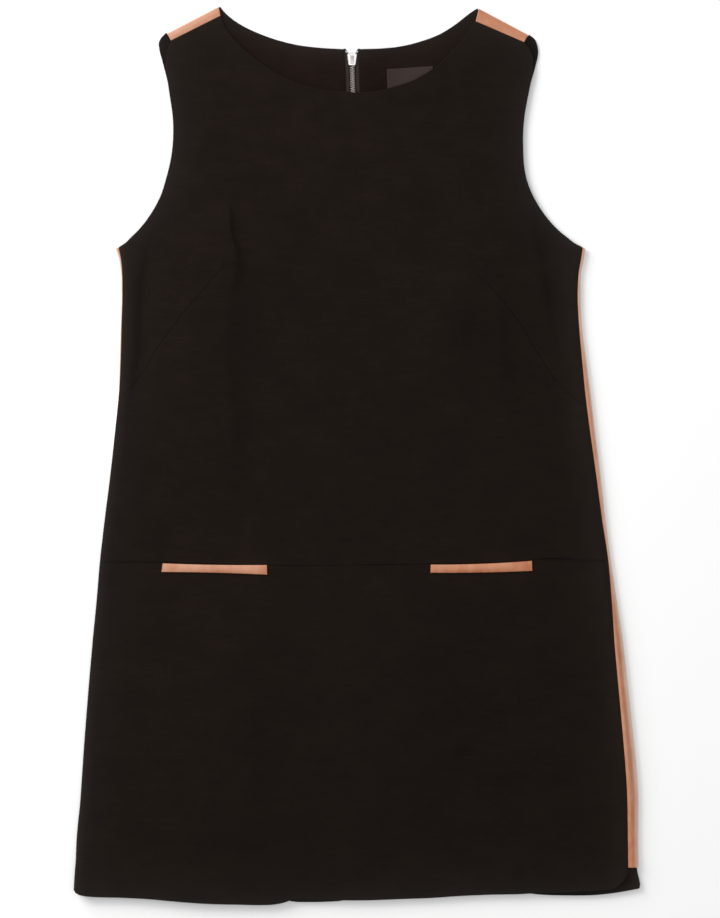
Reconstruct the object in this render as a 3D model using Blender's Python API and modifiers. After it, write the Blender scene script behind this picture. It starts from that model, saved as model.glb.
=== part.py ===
"""A sleeveless A-line shift dress, laid flat on its back.

It lies in the XY plane with its neck towards +Y and its underside on z = 0. The back
lies flat, the front lies on the back, and at the sides and shoulders the cloth turns
over in one soft fold. A tan stripe follows each side, a tan strip each shoulder, and
the centre back closes with a metal zip whose pull tab swings on the outside.

Sizes are in millimetres, and MM turns them to metres where a mesh is built. A panel is
worked out on the cloth's own plane, as if the side folds were opened out flat, and
laid() then gives where each of its points lies.
"""

import math
from collections import namedtuple

import bmesh
import bpy
import numpy as np

MM = 0.001
PART_NAME = "shift_dress"

# Cloth, seams and folds
CLOTH = 1.5  # wall of a panel
WELT = 1.2  # a folded pocket welt
SEAM = 0.3  # gap between two pieces at a seam
SIDE_SEAM = 0.44  # the same on the fold's middle, where the walls lean together inside it
LAY_GAP = 0.7  # least gap between the back and the front that lies on it
FOLD_RADIUS = 2.25  # middle of the wall where it turns over
FOLD_OUT = FOLD_RADIUS + CLOTH / 2
QUARTER = FOLD_RADIUS * math.pi / 2  # arc from a fold's outermost line to where it is level
FOLD_TOP = CLOTH / 2 + 2 * FOLD_RADIUS  # height of the front's middle where the fold ends
SIDE_ROLL = 26.0  # how far a side fold lifts the front beside it
SHOULDER_ROLL = 22.0
ARMHOLE_FADE = 30.0  # the side fold's lift fades over this length above the underarm

# Heights along the dress, from the middle of its length towards the neck
UNDERARM = 207.0
STRIPE_END = -410.5  # top of the side vent
STRIPE_WIDTH = 20.0
VENT_TAB_LEFT = 12.0  # how far the back's hem tab passes its side seam
VENT_TAB_SLOPE = 1.5  # how far the tab's side leans outwards
VENT_TAB_MIDDLE = 10.0
VENT_CORNER = 1.5  # the front skirt's side ends this far below the stripes
UNDERARM_SLOPE = 0.83  # of the armhole's edge where it crosses the side fold
UNDERARM_ROUND = 2.0
ZIP_END = -94.0

# The flat outline, and how far the front's side seams lie round the fold: an arc from
# the fold's outermost line, positive on top and negative underneath.
Side = namedtuple("Side", "y left right left_seam right_seam")
SIDES = [
    Side(207, -240.5, 227.9, 4.0, 3.5),
    Side(198, -238.0, 225.5, 3.3, 3.3),
    Side(183, -235.3, 223.2, 2.5, 3.0),
    Side(164, -234.5, 222.9, 1.9, 3.5),
    Side(126, -235.7, 223.8, 1.9, 3.4),
    Side(95, -237.0, 229.0, 1.9, 4.5),
    Side(65, -238.3, 232.0, 1.0, 4.5),
    Side(26, -242.0, 237.1, 0.1, 4.7),
    Side(-19, -246.7, 242.2, -1.2, 4.3),
    Side(-64, -252.3, 247.3, -2.6, 3.7),
    Side(-104, -256.9, 251.8, -3.8, 3.0),
    Side(-144, -260.3, 258.5, -5.0, 4.8),
    Side(-184, -264.7, 264.5, -6.2, 7.3),
    Side(-230, -268.5, 269.7, -7.5, 8.5),
    Side(-279, -272.5, 275.5, -8.7, 10.2),
    Side(-334, -276.1, 279.6, -9.6, 10.3),
    Side(-383, -280.0, 279.0, -10.0, 8.8),
    Side(-437, -282.5, 279.4, -10.0, 9.0),
]

# Edges of the panels, as (x, y) points of smooth curves. Each armhole starts at the
# underarm, where it meets the side stripe, and ends at the shoulder.
FRONT_ARMHOLE_LEFT = [
    (-219.5, 226),
    (-201.5, 250),
    (-191.5, 274),
    (-185.4, 306),
    (-184.5, 331),
    (-188.0, 368),
    (-191.3, 390),
    (-189.7, 405),
    (-186.1, 414.8),
]
FRONT_ARMHOLE_RIGHT = [
    (199.5, 226),
    (179.5, 250),
    (169.2, 274),
    (164.5, 310),
    (166.0, 334),
    (171.5, 366),
    (175.3, 386),
    (172.5, 404),
    (166.3, 413.9),
]
BACK_ARMHOLE_LEFT = [
    (-202.0, 247),
    (-190.0, 275),
    (-183.7, 306),
    (-182.9, 331),
    (-188.4, 371),
    (-194.5, 393),
    (-198.2, 407),
    (-196.6, 414),
    (-192.6, 417.6),
]
BACK_ARMHOLE_RIGHT = [
    (180.0, 247),
    (167.6, 275),
    (162.9, 310),
    (164.4, 334),
    (171.2, 367),
    (177.9, 388),
    (181.1, 406),
    (178.2, 412.6),
    (173.0, 415.9),
]
FRONT_NECK = [
    (-136.5, 439.4),
    (-133.5, 431),
    (-117.5, 412),
    (-97.5, 395),
    (-74.5, 379.5),
    (-51.5, 371),
    (-7.5, 363.3),
    (12.5, 364.5),
    (35.5, 370),
    (58.5, 378),
    (76.5, 389),
    (89.0, 398),
    (104.5, 412),
    (116.0, 428.5),
    (117.8, 434.1),
]
BACK_NECK_LEFT = [
    (-127.5, 438),
    (-107.5, 426),
    (-74.5, 414),
    (-38.5, 407.7),
    (-13.5, 405),
]
BACK_NECK_RIGHT = [
    (106.5, 438),
    (90.5, 426),
    (62.5, 414),
    (31.5, 408),
    (2.0, 405),
]
DROP_WAIST = [
    (-262, -105.2),
    (-193, -106.0),
    (-90, -108.8),
    (0, -108.8),
    (72, -107.6),
    (175, -104.2),
    (197, -102.2),
    (220, -103.8),
    (250, -104.8),
]
FRONT_HEM = [
    (-293.0, -412),
    (-288.0, -428),
    (-279.0, -437.5),
    (-267.5, -440),
    (-197.5, -443),
    (-157.5, -446.6),
    (-117.5, -448),
    (-74.5, -447),
    (-62.5, -443.6),
    (32.5, -441),
    (112.5, -436.5),
    (232.5, -435),
    (248.5, -434),
    (258.1, -431),
    (265.8, -423),
    (269.9, -412),
]
BACK_HEM_LEFT = [(-264.5, -434), (-200, -440), (-110, -443.5), (0, -444)]
BACK_HEM_RIGHT = [(282.5, -432), (269, -436.6), (172, -437.5), (80, -440), (0, -444)]

# Each shoulder: the fold's outermost line and the front's seam, neck end then arm end
Shoulder = namedtuple("Shoulder", "fold_neck fold_arm seam_neck seam_arm")
SHOULDERS = {
    "left": Shoulder((-138.5, 448.4), (-189.8, 422.5), (-136.5, 439.4), (-186.1, 414.8)),
    "right": Shoulder((121.2, 446.8), (170.2, 420.5), (117.8, 434.1), (166.3, 413.9)),
}

# Soft swells of the front over the back. lean is the angle of the long axis from +Y.
Swell = namedtuple("Swell", "x y across along lean rise")
FRONT_SWELLS = [
    Swell(-128, 200, 48, 80, 8, 1.7),
    Swell(125, 196, 48, 78, -8, 1.7),
    Swell(-160, 60, 30, 120, 6, 0.9),
    Swell(150, 40, 36, 120, -6, 1.0),
    Swell(-40, -20, 60, 130, 4, 0.7),
    Swell(60, -250, 70, 130, -5, 0.9),
    Swell(-150, -270, 60, 120, 8, 1.1),
    Swell(190, -300, 40, 110, -8, 1.0),
    Swell(-10, 320, 90, 60, 0, 0.8),
]

# The centre-back line, and how the zip lifts the cloth on each side of it
CENTRE_BACK = [(-450, 0), (-100, 0), (150, -1.5), (330, -3.6), (363, -4.5), (405, -5.75)]
ZipLift = namedtuple("ZipLift", "y lift reach")
ZIP_LIFTS = [
    ZipLift(-125, 0.0, 18),
    ZipLift(-108, 0.0, 18),
    ZipLift(-88, 0.85, 18),
    ZipLift(325, 0.85, 18),
    ZipLift(347, 1.2, 24),
    ZipLift(360, 1.85, 31),
    ZipLift(370, 2.6, 38),
    ZipLift(380, 3.6, 44),
    ZipLift(389, 4.45, 50),
    ZipLift(420, 4.45, 50),
]
CHAIN_ROOM = 0.6  # the teeth's extra height under the front
CHAIN_REACH = 9.0

# Zip: the two tapes fill the opening between the back's folded edges
OPENING_HALF = 7.75
TAPE = 1.0
TAPE_TOP = 404.6
TAPE_MEET = 391.0  # the tapes run together below this height
TAPE_SPLAY = 6.0  # half gap between the tapes at the neck
SPLAY_SHARE = 0.625  # of an ease curve, which leaves the tapes still parting at the neck

# Slider, as heights over z = 0 with the cloth lifted round it
SLIDER_TOP_Y = 400.5
SLIDER_LENGTH = 11.2
SLIDER_HALF_TOP = 4.7
SLIDER_HALF_END = 3.2
PLATE = 0.8
CHANNEL = 3.0  # height inside, between the plates
SLIDER_LOW = 2.9  # underside of the outer plate
SLIDER_CORNER = 0.9
FLANGE = 0.75  # wall of the flanges that hold the chain in
SLOT_LOW = 4.35
SLOT_HIGH = 6.05
WEDGE_HALF = 1.5
WEDGE_TIP_HALF = 0.4
WEDGE_INSET = 0.2  # from the slider's top edge
WEDGE_LENGTH = 3.6
BRIDGE_LENGTH = 6.4
BRIDGE_WIDTH = 1.8
BRIDGE_WALL = 0.9
BRIDGE_ROOM = 1.8  # inside the bridge, where the pull's bar turns

# Pull tab, flat, with a window round the bridge
PULL_LENGTH = 26.0
PULL_THICK = 1.0
PULL_HALF_NECK = 2.6
PULL_HALF_END = 3.6
PULL_CORNER = 1.2
PULL_BAR = 1.0
PULL_WINDOW_HALF = 1.5
PULL_WINDOW_LENGTH = 4.4
PULL_FLOOR = 0.06  # gap under the tab's free end
HINGE_Y = SLIDER_TOP_Y - SLIDER_LENGTH / 2
HINGE_Z = SLIDER_LOW - BRIDGE_ROOM / 2

# Pocket welts by their corners, and the neck label
WELT_CORNERS = {
    "left": ((-194.9, -116.2), (-90.1, -118.8), (-89.6, -109.5), (-193.7, -107.0)),
    "right": ((72.8, -117.8), (175.2, -115.3), (175.2, -105.0), (72.8, -108.4)),
}
WELT_DROP = 0.8  # the welt starts this far below the waist seam
WELT_WAIST = 0.9  # how much narrower a welt is in its middle
LABEL_CORNERS = ((30.0, 364.4), (76.6, 367.5), (75.0, 390.0), (29.0, 386.9))
LABEL = 0.8
LABEL_SIZE = (48.0, 28.0)  # where it lifts the front, and over what margins that fades
LABEL_MARGINS = (18.0, 16.0)

# Heights of the rows across the panels
SKIRT_ROWS = (-345, -305, -265, -225, -185, -145)
WAIST_ROWS = (-105, -94)
BODICE_ROWS = (-60, -20, 15, 40, 65, 95, 126, 155, 180, 197)
SIDE_ROWS = (*SKIRT_ROWS, *WAIST_ROWS, *BODICE_ROWS)
VENT_ROWS = (-404, -394, -383)
HEM_ROWS = (-440, -428, STRIPE_END - 4)  # of the back at its centre, below the stripes' ends
ROW_OVER_UNDERARM = 210
ARMHOLE_SHARES = (0.1, 0.2, 0.3, 0.4, 0.5, 0.59, 0.68, 0.76, 0.84, 0.91, 0.96, 1)
CENTRE_ROWS_HIGH = (235, 260, 285, 310, 330, 347, 360, 370, 380, 389, 397, 405)
TAPE_ROWS_TOP = (393, 397, 401)

# How far the first or last rows follow the curved edge beside them
VENT_PULL = (1, 0.72, 0.42, 0.14)
WAIST_PULL_SKIRT = (0.3, 0.6, 1)
WAIST_PULL_BODICE = (1, 0.8, 0.3)
BACK_HEM_PULL = (1, 0.6, 0.25, 0.1)
SHOULDER_PULL = 1.2  # the power of each armhole row's share

# Shares of the columns across the panels
ROLL_STEPS = (0, 0.012, 0.045, 0.08, 0.13, 0.2, 0.32, 0.5, 0.73, 1)  # with the seam on top
ROLL_STEPS_UNDER = (0, 0.012, 0.14, 0.2, 0.26, 0.32, 0.38, 0.55, 0.75, 1)
SEAM_FURTHEST_UNDER = 10.0
ROLL_STEPS_TOP = (0, 0.012, 0.3, 0.62, 1)
STRIPE_STEPS = (0, 0.02, *(k / 12 for k in range(1, 12)), 0.98, 1)
ROLL_END = 30.0
MIDDLE_STEPS = 14
BACK_STEPS = (0, 0.04, 0.1, 0.18, 0.29, 0.43, 0.58, 0.74, 0.88, 1)
BACK_NECK_STEPS = 6
BACK_NECK_CROWDING = 1.35  # power that draws the columns towards the centre back
TAPE_COLUMNS = 3
STRIP_ROWS = 7
STRIP_FOLD_STEPS = 7

BLACK = (0.0152, 0.0103, 0.0091)
TAN = (0.610, 0.262, 0.150)
TAPE_GREY = (0.045, 0.036, 0.033)
LABEL_GREY = (0.040, 0.030, 0.028)
METAL = (0.78, 0.78, 0.76)


def through(rows):
    """The smooth function through (t, value) rows, held level past its ends."""
    t, v = np.array(rows, float).T
    if t[0] > t[-1]:
        t, v = t[::-1], v[::-1]
    slope = np.gradient(v, t)

    def value(at):
        at = np.clip(at, t[0], t[-1])
        i = np.clip(np.searchsorted(t, at) - 1, 0, len(t) - 2)
        step = t[i + 1] - t[i]
        s = (at - t[i]) / step
        ends = v[i] * (1 + 2 * s) * (1 - s) ** 2 + v[i + 1] * s * s * (3 - 2 * s)
        return ends + step * s * (1 - s) * (slope[i] * (1 - s) - slope[i + 1] * s)

    return value


def along(points):
    """The smooth path through points, as a function of the share of its length."""
    points = np.array(points, float)
    run = np.append(0, np.cumsum(np.linalg.norm(np.diff(points, axis=0), axis=1)))
    run /= run[-1]
    x, y = (through(np.stack([run, points[:, k]], axis=1)) for k in (0, 1))
    return lambda share: np.stack([x(share), y(share)], axis=-1)


def column(table, name):
    return through([(row.y, getattr(row, name)) for row in table])


def eased(share):
    """0 to 1 with level ends."""
    share = np.clip(share, 0, 1)
    return share * share * (3 - 2 * share)


left_of = column(SIDES, "left")
right_of = column(SIDES, "right")
left_seam = column(SIDES, "left_seam")
right_seam = column(SIDES, "right_seam")
centre_back = through(CENTRE_BACK)
zip_lift = column(ZIP_LIFTS, "lift")
zip_reach = column(ZIP_LIFTS, "reach")


def left_x(y, arc):
    """Opened-out x of the cloth this arc from the left fold's outermost line."""
    return left_of(y) + FOLD_OUT - QUARTER + arc


def right_x(y, arc):
    return right_of(y) - FOLD_OUT + QUARTER - arc


def underarm_edge(y_lowest, off):
    """Height of the armhole's edge, off to one side of the fold that it crosses."""
    return y_lowest + UNDERARM_SLOPE * (np.hypot(off, UNDERARM_ROUND) - UNDERARM_ROUND)


def back_height(x, y):
    """Middle of the back's wall: flat on the floor, but lifted by the zip."""
    off = np.abs(x - centre_back(y)) - OPENING_HALF
    return CLOTH / 2 + zip_lift(y) * (1 - eased(off / zip_reach(y)))


def swell(x, y, row):
    lean = math.radians(row.lean)
    across = (x - row.x) * math.cos(lean) + (y - row.y) * math.sin(lean)
    lengthwise = (y - row.y) * math.cos(lean) - (x - row.x) * math.sin(lean)
    return row.rise * np.exp(-((across / row.across) ** 2) - (lengthwise / row.along) ** 2)


def from_line(x, y, start, end):
    """Distance from the stretch between two points."""
    start, end = np.array(start), np.array(end)
    way = end - start
    share = ((x - start[0]) * way[0] + (y - start[1]) * way[1]) / (way @ way)
    share = np.clip(share, 0, 1)
    return np.hypot(x - start[0] - share * way[0], y - start[1] - share * way[1])


def label_room(x, y):
    """How far the label lifts the front that covers its lower edge."""
    centre = np.mean(LABEL_CORNERS, axis=0)
    beside = (np.abs(x - centre[0]) - LABEL_SIZE[0] / 2) / LABEL_MARGINS[0]
    below = (centre[1] - LABEL_SIZE[1] / 2 - y) / LABEL_MARGINS[1]
    return (LABEL + SEAM) * (1 - eased(beside)) * (1 - eased(below))


def front_height(x, y):
    """Middle of the front's wall, resting on the back and lifted by the folds."""
    gap = LAY_GAP + sum(swell(x, y, row) for row in FRONT_SWELLS) + label_room(x, y)
    teeth = CHAIN_ROOM * np.exp(-(((x - centre_back(y)) / CHAIN_REACH) ** 2))
    resting = back_height(x, y) + CLOTH + gap + teeth * (zip_lift(y) > 0)
    beside = np.minimum(x - left_of(y), right_of(y) - x)
    at_side = 1 - eased((beside - FOLD_OUT) / SIDE_ROLL)
    at_side = at_side * (1 - eased((y - UNDERARM) / ARMHOLE_FADE))
    lift = at_side
    for row in SHOULDERS.values():
        away = from_line(x, y, row.fold_neck, row.fold_arm)
        lift = np.maximum(lift, 1 - eased((away - FOLD_OUT) / SHOULDER_ROLL))
    return resting + (np.maximum(FOLD_TOP, resting) - resting) * lift


def turned(out, inward, arc, level_z):
    """A point this arc from the outermost line of a fold: its plane offset and height."""
    angle = np.clip(arc, -QUARTER, QUARTER) / FOLD_RADIUS
    past = np.maximum(np.abs(arc) - QUARTER, 0)
    flat = out + inward * (FOLD_OUT - FOLD_RADIUS * np.cos(angle) + past)
    round_z = CLOTH / 2 + FOLD_RADIUS * (1 + np.sin(angle))
    return flat, np.where(arc > QUARTER, level_z, round_z)


def laid(flat):
    """Where the front and side pieces lie: opened-out (x, y) to (x, y, z)."""
    x, y = flat[..., 0], flat[..., 1]
    arc_left = x - left_of(y) - FOLD_OUT + QUARTER
    arc_right = right_of(y) - x - FOLD_OUT + QUARTER
    on_left, left_z = turned(left_of(y), 1, arc_left, 0)
    on_right, right_z = turned(right_of(y), -1, arc_right, 0)
    place = np.where(arc_left < QUARTER, on_left, np.where(arc_right < QUARTER, on_right, x))
    z = np.where(arc_left < QUARTER, left_z, np.where(arc_right < QUARTER, right_z, front_height(x, y)))
    return np.stack([place, y, z], axis=-1)


def flat_on_floor(flat):
    """Where the back pieces lie."""
    return np.concatenate([flat, back_height(flat[..., 0], flat[..., 1])[..., None]], axis=-1)


def spread(first, last, shares):
    """Rows of points between two sides. shares has one row, or one for each row."""
    shares = np.broadcast_to(shares, (len(first), np.shape(shares)[-1]))[..., None]
    return first[:, None] * (1 - shares) + last[:, None] * shares


def pulled(grid, edge, row, pull):
    """The grid with one row drawn to an edge, and the others by their pull."""
    return grid + np.array(pull)[:, None, None] * (edge - grid[row])


def collection():
    found = bpy.data.collections.get(PART_NAME)
    if not found:
        found = bpy.data.collections.new(PART_NAME)
        bpy.context.scene.collection.children.link(found)
    return found


def material(name, colour, roughness, metallic=0.0):
    found = bpy.data.materials.get(name)
    if not found:
        found = bpy.data.materials.new(name)
        found.use_nodes = True
        shader = found.node_tree.nodes["Principled BSDF"]
        shader.inputs["Base Color"].default_value = (*colour, 1)
        shader.inputs["Roughness"].default_value = roughness
        shader.inputs["Metallic"].default_value = metallic
    return found


def crepe():
    return material("black_crepe", BLACK, 0.9)


def smooth_trim():
    return material("tan_trim", TAN, 0.55)


def bright_metal():
    return material("bright_metal", METAL, 0.25, 1.0)


def add_object(name, mesh, finish):
    piece = bpy.data.objects.new(name, mesh)
    mesh.materials.append(finish)
    collection().objects.link(piece)
    return piece


def sheet(name, points, wall, finish):
    """A cloth wall: a grid laid on rows of points, made solid about its middle."""
    rows, columns = points.shape[:2]
    shape = bmesh.new()
    bmesh.ops.create_grid(shape, x_segments=columns - 1, y_segments=rows - 1, size=1)
    for vertex in shape.verts:
        i = round((vertex.co.x + 1) / 2 * (columns - 1))
        j = round((vertex.co.y + 1) / 2 * (rows - 1))
        vertex.co = points[j, i] * MM
    mesh = bpy.data.meshes.new(name)
    shape.to_mesh(mesh)
    shape.free()
    mesh.shade_smooth()
    piece = add_object(name, mesh, finish)
    solid = piece.modifiers.new("wall", "SOLIDIFY")
    solid.thickness = wall * MM
    solid.offset = 0
    return piece


def seam_side(x_at, arc, heights):
    """Points along a side seam, where arc gives how far round the fold it runs."""
    heights = np.array(heights, float)
    return np.stack([x_at(heights, arc(heights)), heights], axis=-1)


def underarm_point(x_at, arc, fold_x):
    """Where a side seam ends at the armhole."""
    x = x_at(UNDERARM, arc)
    return np.array([x, underarm_edge(UNDERARM, x - fold_x)])


def armhole(start, points):
    return along([start, *points])(np.array(ARMHOLE_SHARES))


LEFT_FOLD_X = left_x(UNDERARM, 0)
RIGHT_FOLD_X = right_x(UNDERARM, 0)
SEAM_ARC = SIDE_SEAM / 2


def front_shares(first, last, y_rows):
    """Where the columns cross each row: close together in the left fold's roll."""
    width = last[:, 0] - first[:, 0]
    under = np.clip(-left_seam(y_rows) / SEAM_FURTHEST_UNDER, 0, 1)[:, None]
    steps = np.array(ROLL_STEPS) * (1 - under) + np.array(ROLL_STEPS_UNDER) * under
    roll_left = (ROLL_END - left_seam(y_rows))[:, None] * steps / width[:, None]
    roll_right = (ROLL_END - right_seam(y_rows))[:, None] * np.array(ROLL_STEPS_TOP) / width[:, None]
    middle = np.linspace(roll_left[:, -1], 1 - roll_right[:, -1], MIDDLE_STEPS + 1, axis=1)
    return np.concatenate([roll_left[:, :-1], middle, 1 - roll_right[:, -2::-1]], axis=1)


def front_skirt():
    heights = (STRIPE_END - VENT_CORNER, *VENT_ROWS, *SKIRT_ROWS, WAIST_ROWS[0])
    first = seam_side(left_x, lambda y: left_seam(y) + SEAM_ARC, heights)
    last = seam_side(right_x, lambda y: right_seam(y) + SEAM_ARC, heights)
    waist = through(DROP_WAIST)
    first[-1, 1] = waist(first[-1, 0]) - SEAM / 2
    last[-1, 1] = waist(last[-1, 0]) - SEAM / 2
    shares = front_shares(first, last, np.array(heights))
    grid = spread(first, last, shares)
    hem = along([first[0], *FRONT_HEM[1:-1], last[0]])(shares[0])
    pull = np.zeros(len(heights))
    pull[: len(VENT_PULL)] = VENT_PULL
    grid = pulled(grid, hem, 0, pull)
    top = np.stack([grid[-1, :, 0], waist(grid[-1, :, 0]) - SEAM / 2], axis=-1)
    pull = np.zeros(len(heights))
    pull[-len(WAIST_PULL_SKIRT) :] = WAIST_PULL_SKIRT
    grid = pulled(grid, top, -1, pull)
    return sheet("front_skirt", laid(grid), CLOTH, crepe())


def front_bodice():
    heights = np.array([*WAIST_ROWS, *BODICE_ROWS], float)
    first = seam_side(left_x, lambda y: left_seam(y) + SEAM_ARC, heights)
    last = seam_side(right_x, lambda y: right_seam(y) + SEAM_ARC, heights)
    waist = through(DROP_WAIST)
    first[0, 1] = waist(first[0, 0]) + SEAM / 2
    last[0, 1] = waist(last[0, 0]) + SEAM / 2
    corner_left = underarm_point(left_x, left_seam(UNDERARM) + SEAM_ARC, LEFT_FOLD_X)
    corner_right = underarm_point(right_x, right_seam(UNDERARM) + SEAM_ARC, RIGHT_FOLD_X)
    first = np.concatenate([first, [corner_left], armhole(corner_left, FRONT_ARMHOLE_LEFT)])
    last = np.concatenate([last, [corner_right], armhole(corner_right, FRONT_ARMHOLE_RIGHT)])
    rows = np.append(heights, np.full(len(first) - len(heights), UNDERARM))
    shares = front_shares(first, last, rows)
    grid = spread(first, last, shares)
    bottom = np.stack([grid[0, :, 0], waist(grid[0, :, 0]) + SEAM / 2], axis=-1)
    pull = np.zeros(len(first))
    pull[: len(WAIST_PULL_BODICE)] = WAIST_PULL_BODICE
    grid = pulled(grid, bottom, 0, pull)
    neck = along(FRONT_NECK)(np.linspace(0, 1, MIDDLE_STEPS + 1))
    steps = np.array(ROLL_STEPS)[:, None]
    shoulder_left = first[-1] * (1 - steps) + neck[0] * steps
    steps = np.array(ROLL_STEPS_TOP)[::-1, None]
    shoulder_right = last[-1] * (1 - steps) + neck[-1] * steps
    top = np.concatenate([shoulder_left[:-1], neck, shoulder_right[1:]])
    pull = np.zeros(len(first))
    pull[-len(ARMHOLE_SHARES) :] = np.array(ARMHOLE_SHARES) ** SHOULDER_PULL
    grid = pulled(grid, top, -1, pull)
    return sheet("front_bodice", laid(grid), CLOTH, crepe())


def side_stripe(side, x_at, seam, fold_x):
    """The stripe between front and back, round the side fold."""
    heights = np.array([STRIPE_END + SEAM, *VENT_ROWS[1:], *SIDE_ROWS], float)
    first = seam_side(x_at, lambda y: seam(y) - SEAM_ARC, heights)
    last = seam_side(x_at, lambda y: seam(y) - STRIPE_WIDTH + SEAM_ARC, heights)
    ends = seam(UNDERARM) - np.array([SEAM_ARC, STRIPE_WIDTH - SEAM_ARC])
    ends = np.stack([x_at(UNDERARM, ends), [UNDERARM, UNDERARM]], axis=-1)
    first, last = np.append(first, ends[:1], axis=0), np.append(last, ends[1:], axis=0)
    grid = spread(first, last, STRIPE_STEPS)
    grid[-1, :, 1] = underarm_edge(UNDERARM, grid[-1, :, 0] - fold_x)
    if side == "right":
        grid = grid[:, ::-1]
    return sheet(f"side_stripe_{side}", laid(grid[:, ::-1]), CLOTH, smooth_trim())


def zip_edge(sign, heights):
    """The back's centre edge: apart along the zip, together below it."""
    heights = np.array(heights, float)
    half = np.where(heights > ZIP_END, OPENING_HALF, SEAM / 2)
    return np.stack([centre_back(heights) + sign * half, heights], axis=-1)


def behind_shoulder(fold, seam):
    """Where the back meets a shoulder strip: just inside the fold, on the underside."""
    fold, seam = np.array(fold), np.array(seam)
    return fold + (seam - fold) / np.linalg.norm(seam - fold) * (FOLD_OUT + SEAM)


def back_half(side):
    """One half of the back, from the centre-back edge to the side stripe."""
    sign, x_at, seam, fold_x, holes, neck, hem = {
        "left": (-1, left_x, left_seam, LEFT_FOLD_X, BACK_ARMHOLE_LEFT, BACK_NECK_LEFT, BACK_HEM_LEFT),
        "right": (1, right_x, right_seam, RIGHT_FOLD_X, BACK_ARMHOLE_RIGHT, BACK_NECK_RIGHT, BACK_HEM_RIGHT),
    }[side]
    heights = [STRIPE_END, *VENT_ROWS[1:], *SIDE_ROWS]
    outer = seam_side(x_at, lambda y: seam(y) - STRIPE_WIDTH - SEAM_ARC, heights)
    # On the back layer the cloth's own plane runs inwards from the fold again.
    outer[:, 0] = laid(outer)[:, 0]
    corner = underarm_point(x_at, seam(UNDERARM) - STRIPE_WIDTH - SEAM_ARC, fold_x)
    corner[0] = laid(corner[None])[0, 0]
    tab_x = right_of(STRIPE_END) if side == "right" else outer[0, 0] - VENT_TAB_LEFT
    tab_low = (tab_x + sign * VENT_TAB_SLOPE, STRIPE_END - VENT_TAB_MIDDLE)
    tab = [hem[0], tab_low, (tab_x, STRIPE_END - SEAM)]
    shoulder = SHOULDERS[side]
    at_arm = behind_shoulder(shoulder.fold_arm, shoulder.seam_arm)
    at_neck = behind_shoulder(shoulder.fold_neck, shoulder.seam_neck)
    outer = np.concatenate([tab, outer, [corner], armhole(corner, [*holes, at_arm])])
    low = [*HEM_ROWS, STRIPE_END, *VENT_ROWS[1:], *SKIRT_ROWS, ZIP_END, ZIP_END + SEAM]
    inner = zip_edge(sign, [*low, *BODICE_ROWS, ROW_OVER_UNDERARM, *CENTRE_ROWS_HIGH])
    grid = spread(inner, outer, np.array(BACK_STEPS))
    edge = along(hem[::-1])(np.array(BACK_STEPS))
    edge[0] = (inner[0, 0], hem[-1][1])
    pull = np.zeros(len(inner))
    pull[: len(BACK_HEM_PULL)] = BACK_HEM_PULL
    grid = pulled(grid, edge, 0, pull)
    crowded = np.linspace(0, 1, BACK_NECK_STEPS + 1) ** BACK_NECK_CROWDING
    curve = along([*neck[::-1], at_neck])(crowded)
    curve[0] = inner[-1]
    more = np.linspace(0, 1, len(BACK_STEPS) - BACK_NECK_STEPS)[1:, None]
    top = np.concatenate([curve, curve[-1] * (1 - more) + outer[-1] * more])
    pull = np.zeros(len(inner))
    pull[-len(ARMHOLE_SHARES) :] = np.array(ARMHOLE_SHARES) ** SHOULDER_PULL
    grid = pulled(grid, top, -1, pull)
    if side == "left":
        grid = grid[:, ::-1]
    return sheet(f"back_{side}", flat_on_floor(grid), CLOTH, crepe())


def shoulder_strip(side):
    """The strip over a shoulder, from the front's seam round the fold to the back."""
    row = SHOULDERS[side]
    shares = np.linspace(0, 1, STRIP_ROWS)[:, None]
    fold = np.array(row.fold_neck) * (1 - shares) + np.array(row.fold_arm) * shares
    seam = np.array(row.seam_neck) * (1 - shares) + np.array(row.seam_arm) * shares
    width = np.linalg.norm(seam - fold, axis=1)
    inward = (seam - fold) / width[:, None]
    arcs = np.array([QUARTER - FOLD_RADIUS * a for a in np.linspace(0, math.pi, STRIP_FOLD_STEPS)])
    points = []
    for out, way, reach in zip(fold, inward, width):
        level = np.linspace(reach - SEAM, FOLD_OUT, 3)[:-1] - FOLD_OUT + QUARTER
        arc = np.append(level, arcs)[:, None]
        flat, z = turned(out, way, arc, 0)
        height = front_height(flat[:, 0], flat[:, 1])
        z = np.where(arc[:, 0] > QUARTER, height, z[:, 0])
        points.append(np.concatenate([flat, z[:, None]], axis=1))
    points = np.array(points)
    if side == "right":
        points = points[::-1]
    return sheet(f"shoulder_strip_{side}", points, CLOTH, smooth_trim())


def on_front(flat, height):
    """Points at this height over the middle of the front's wall."""
    lift = front_height(flat[..., 0], flat[..., 1]) + height
    return np.concatenate([flat, lift[..., None]], axis=-1)


def patch(corners, rows, columns):
    """A grid between four corners, given round from the lower left."""
    low_left, low_right, high_right, high_left = np.array(corners, float)
    up = np.linspace(0, 1, rows + 1)[:, None]
    first = low_left * (1 - up) + high_left * up
    last = low_right * (1 - up) + high_right * up
    return spread(first, last, np.linspace(0, 1, columns + 1))


def pocket_welt(side):
    grid = patch(WELT_CORNERS[side], 2, 12)
    across = np.linspace(0, 1, grid.shape[1])
    waisted = WELT_WAIST * 4 * across * (1 - across)
    up = np.linspace(1, -1, grid.shape[0])[:, None]
    grid[..., 1] += up * waisted / 2 - WELT_DROP
    points = on_front(grid, CLOTH / 2 + SEAM + WELT / 2)
    return sheet(f"pocket_welt_{side}", points, WELT, smooth_trim())


def neck_label():
    grid = patch(LABEL_CORNERS, 4, 6)
    height = back_height(grid[..., 0], grid[..., 1]) + CLOTH / 2 + SEAM + LABEL / 2
    points = np.concatenate([grid, height[..., None]], axis=-1)
    return sheet("neck_label", points, LABEL, material("label_grey", LABEL_GREY, 0.8))


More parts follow.
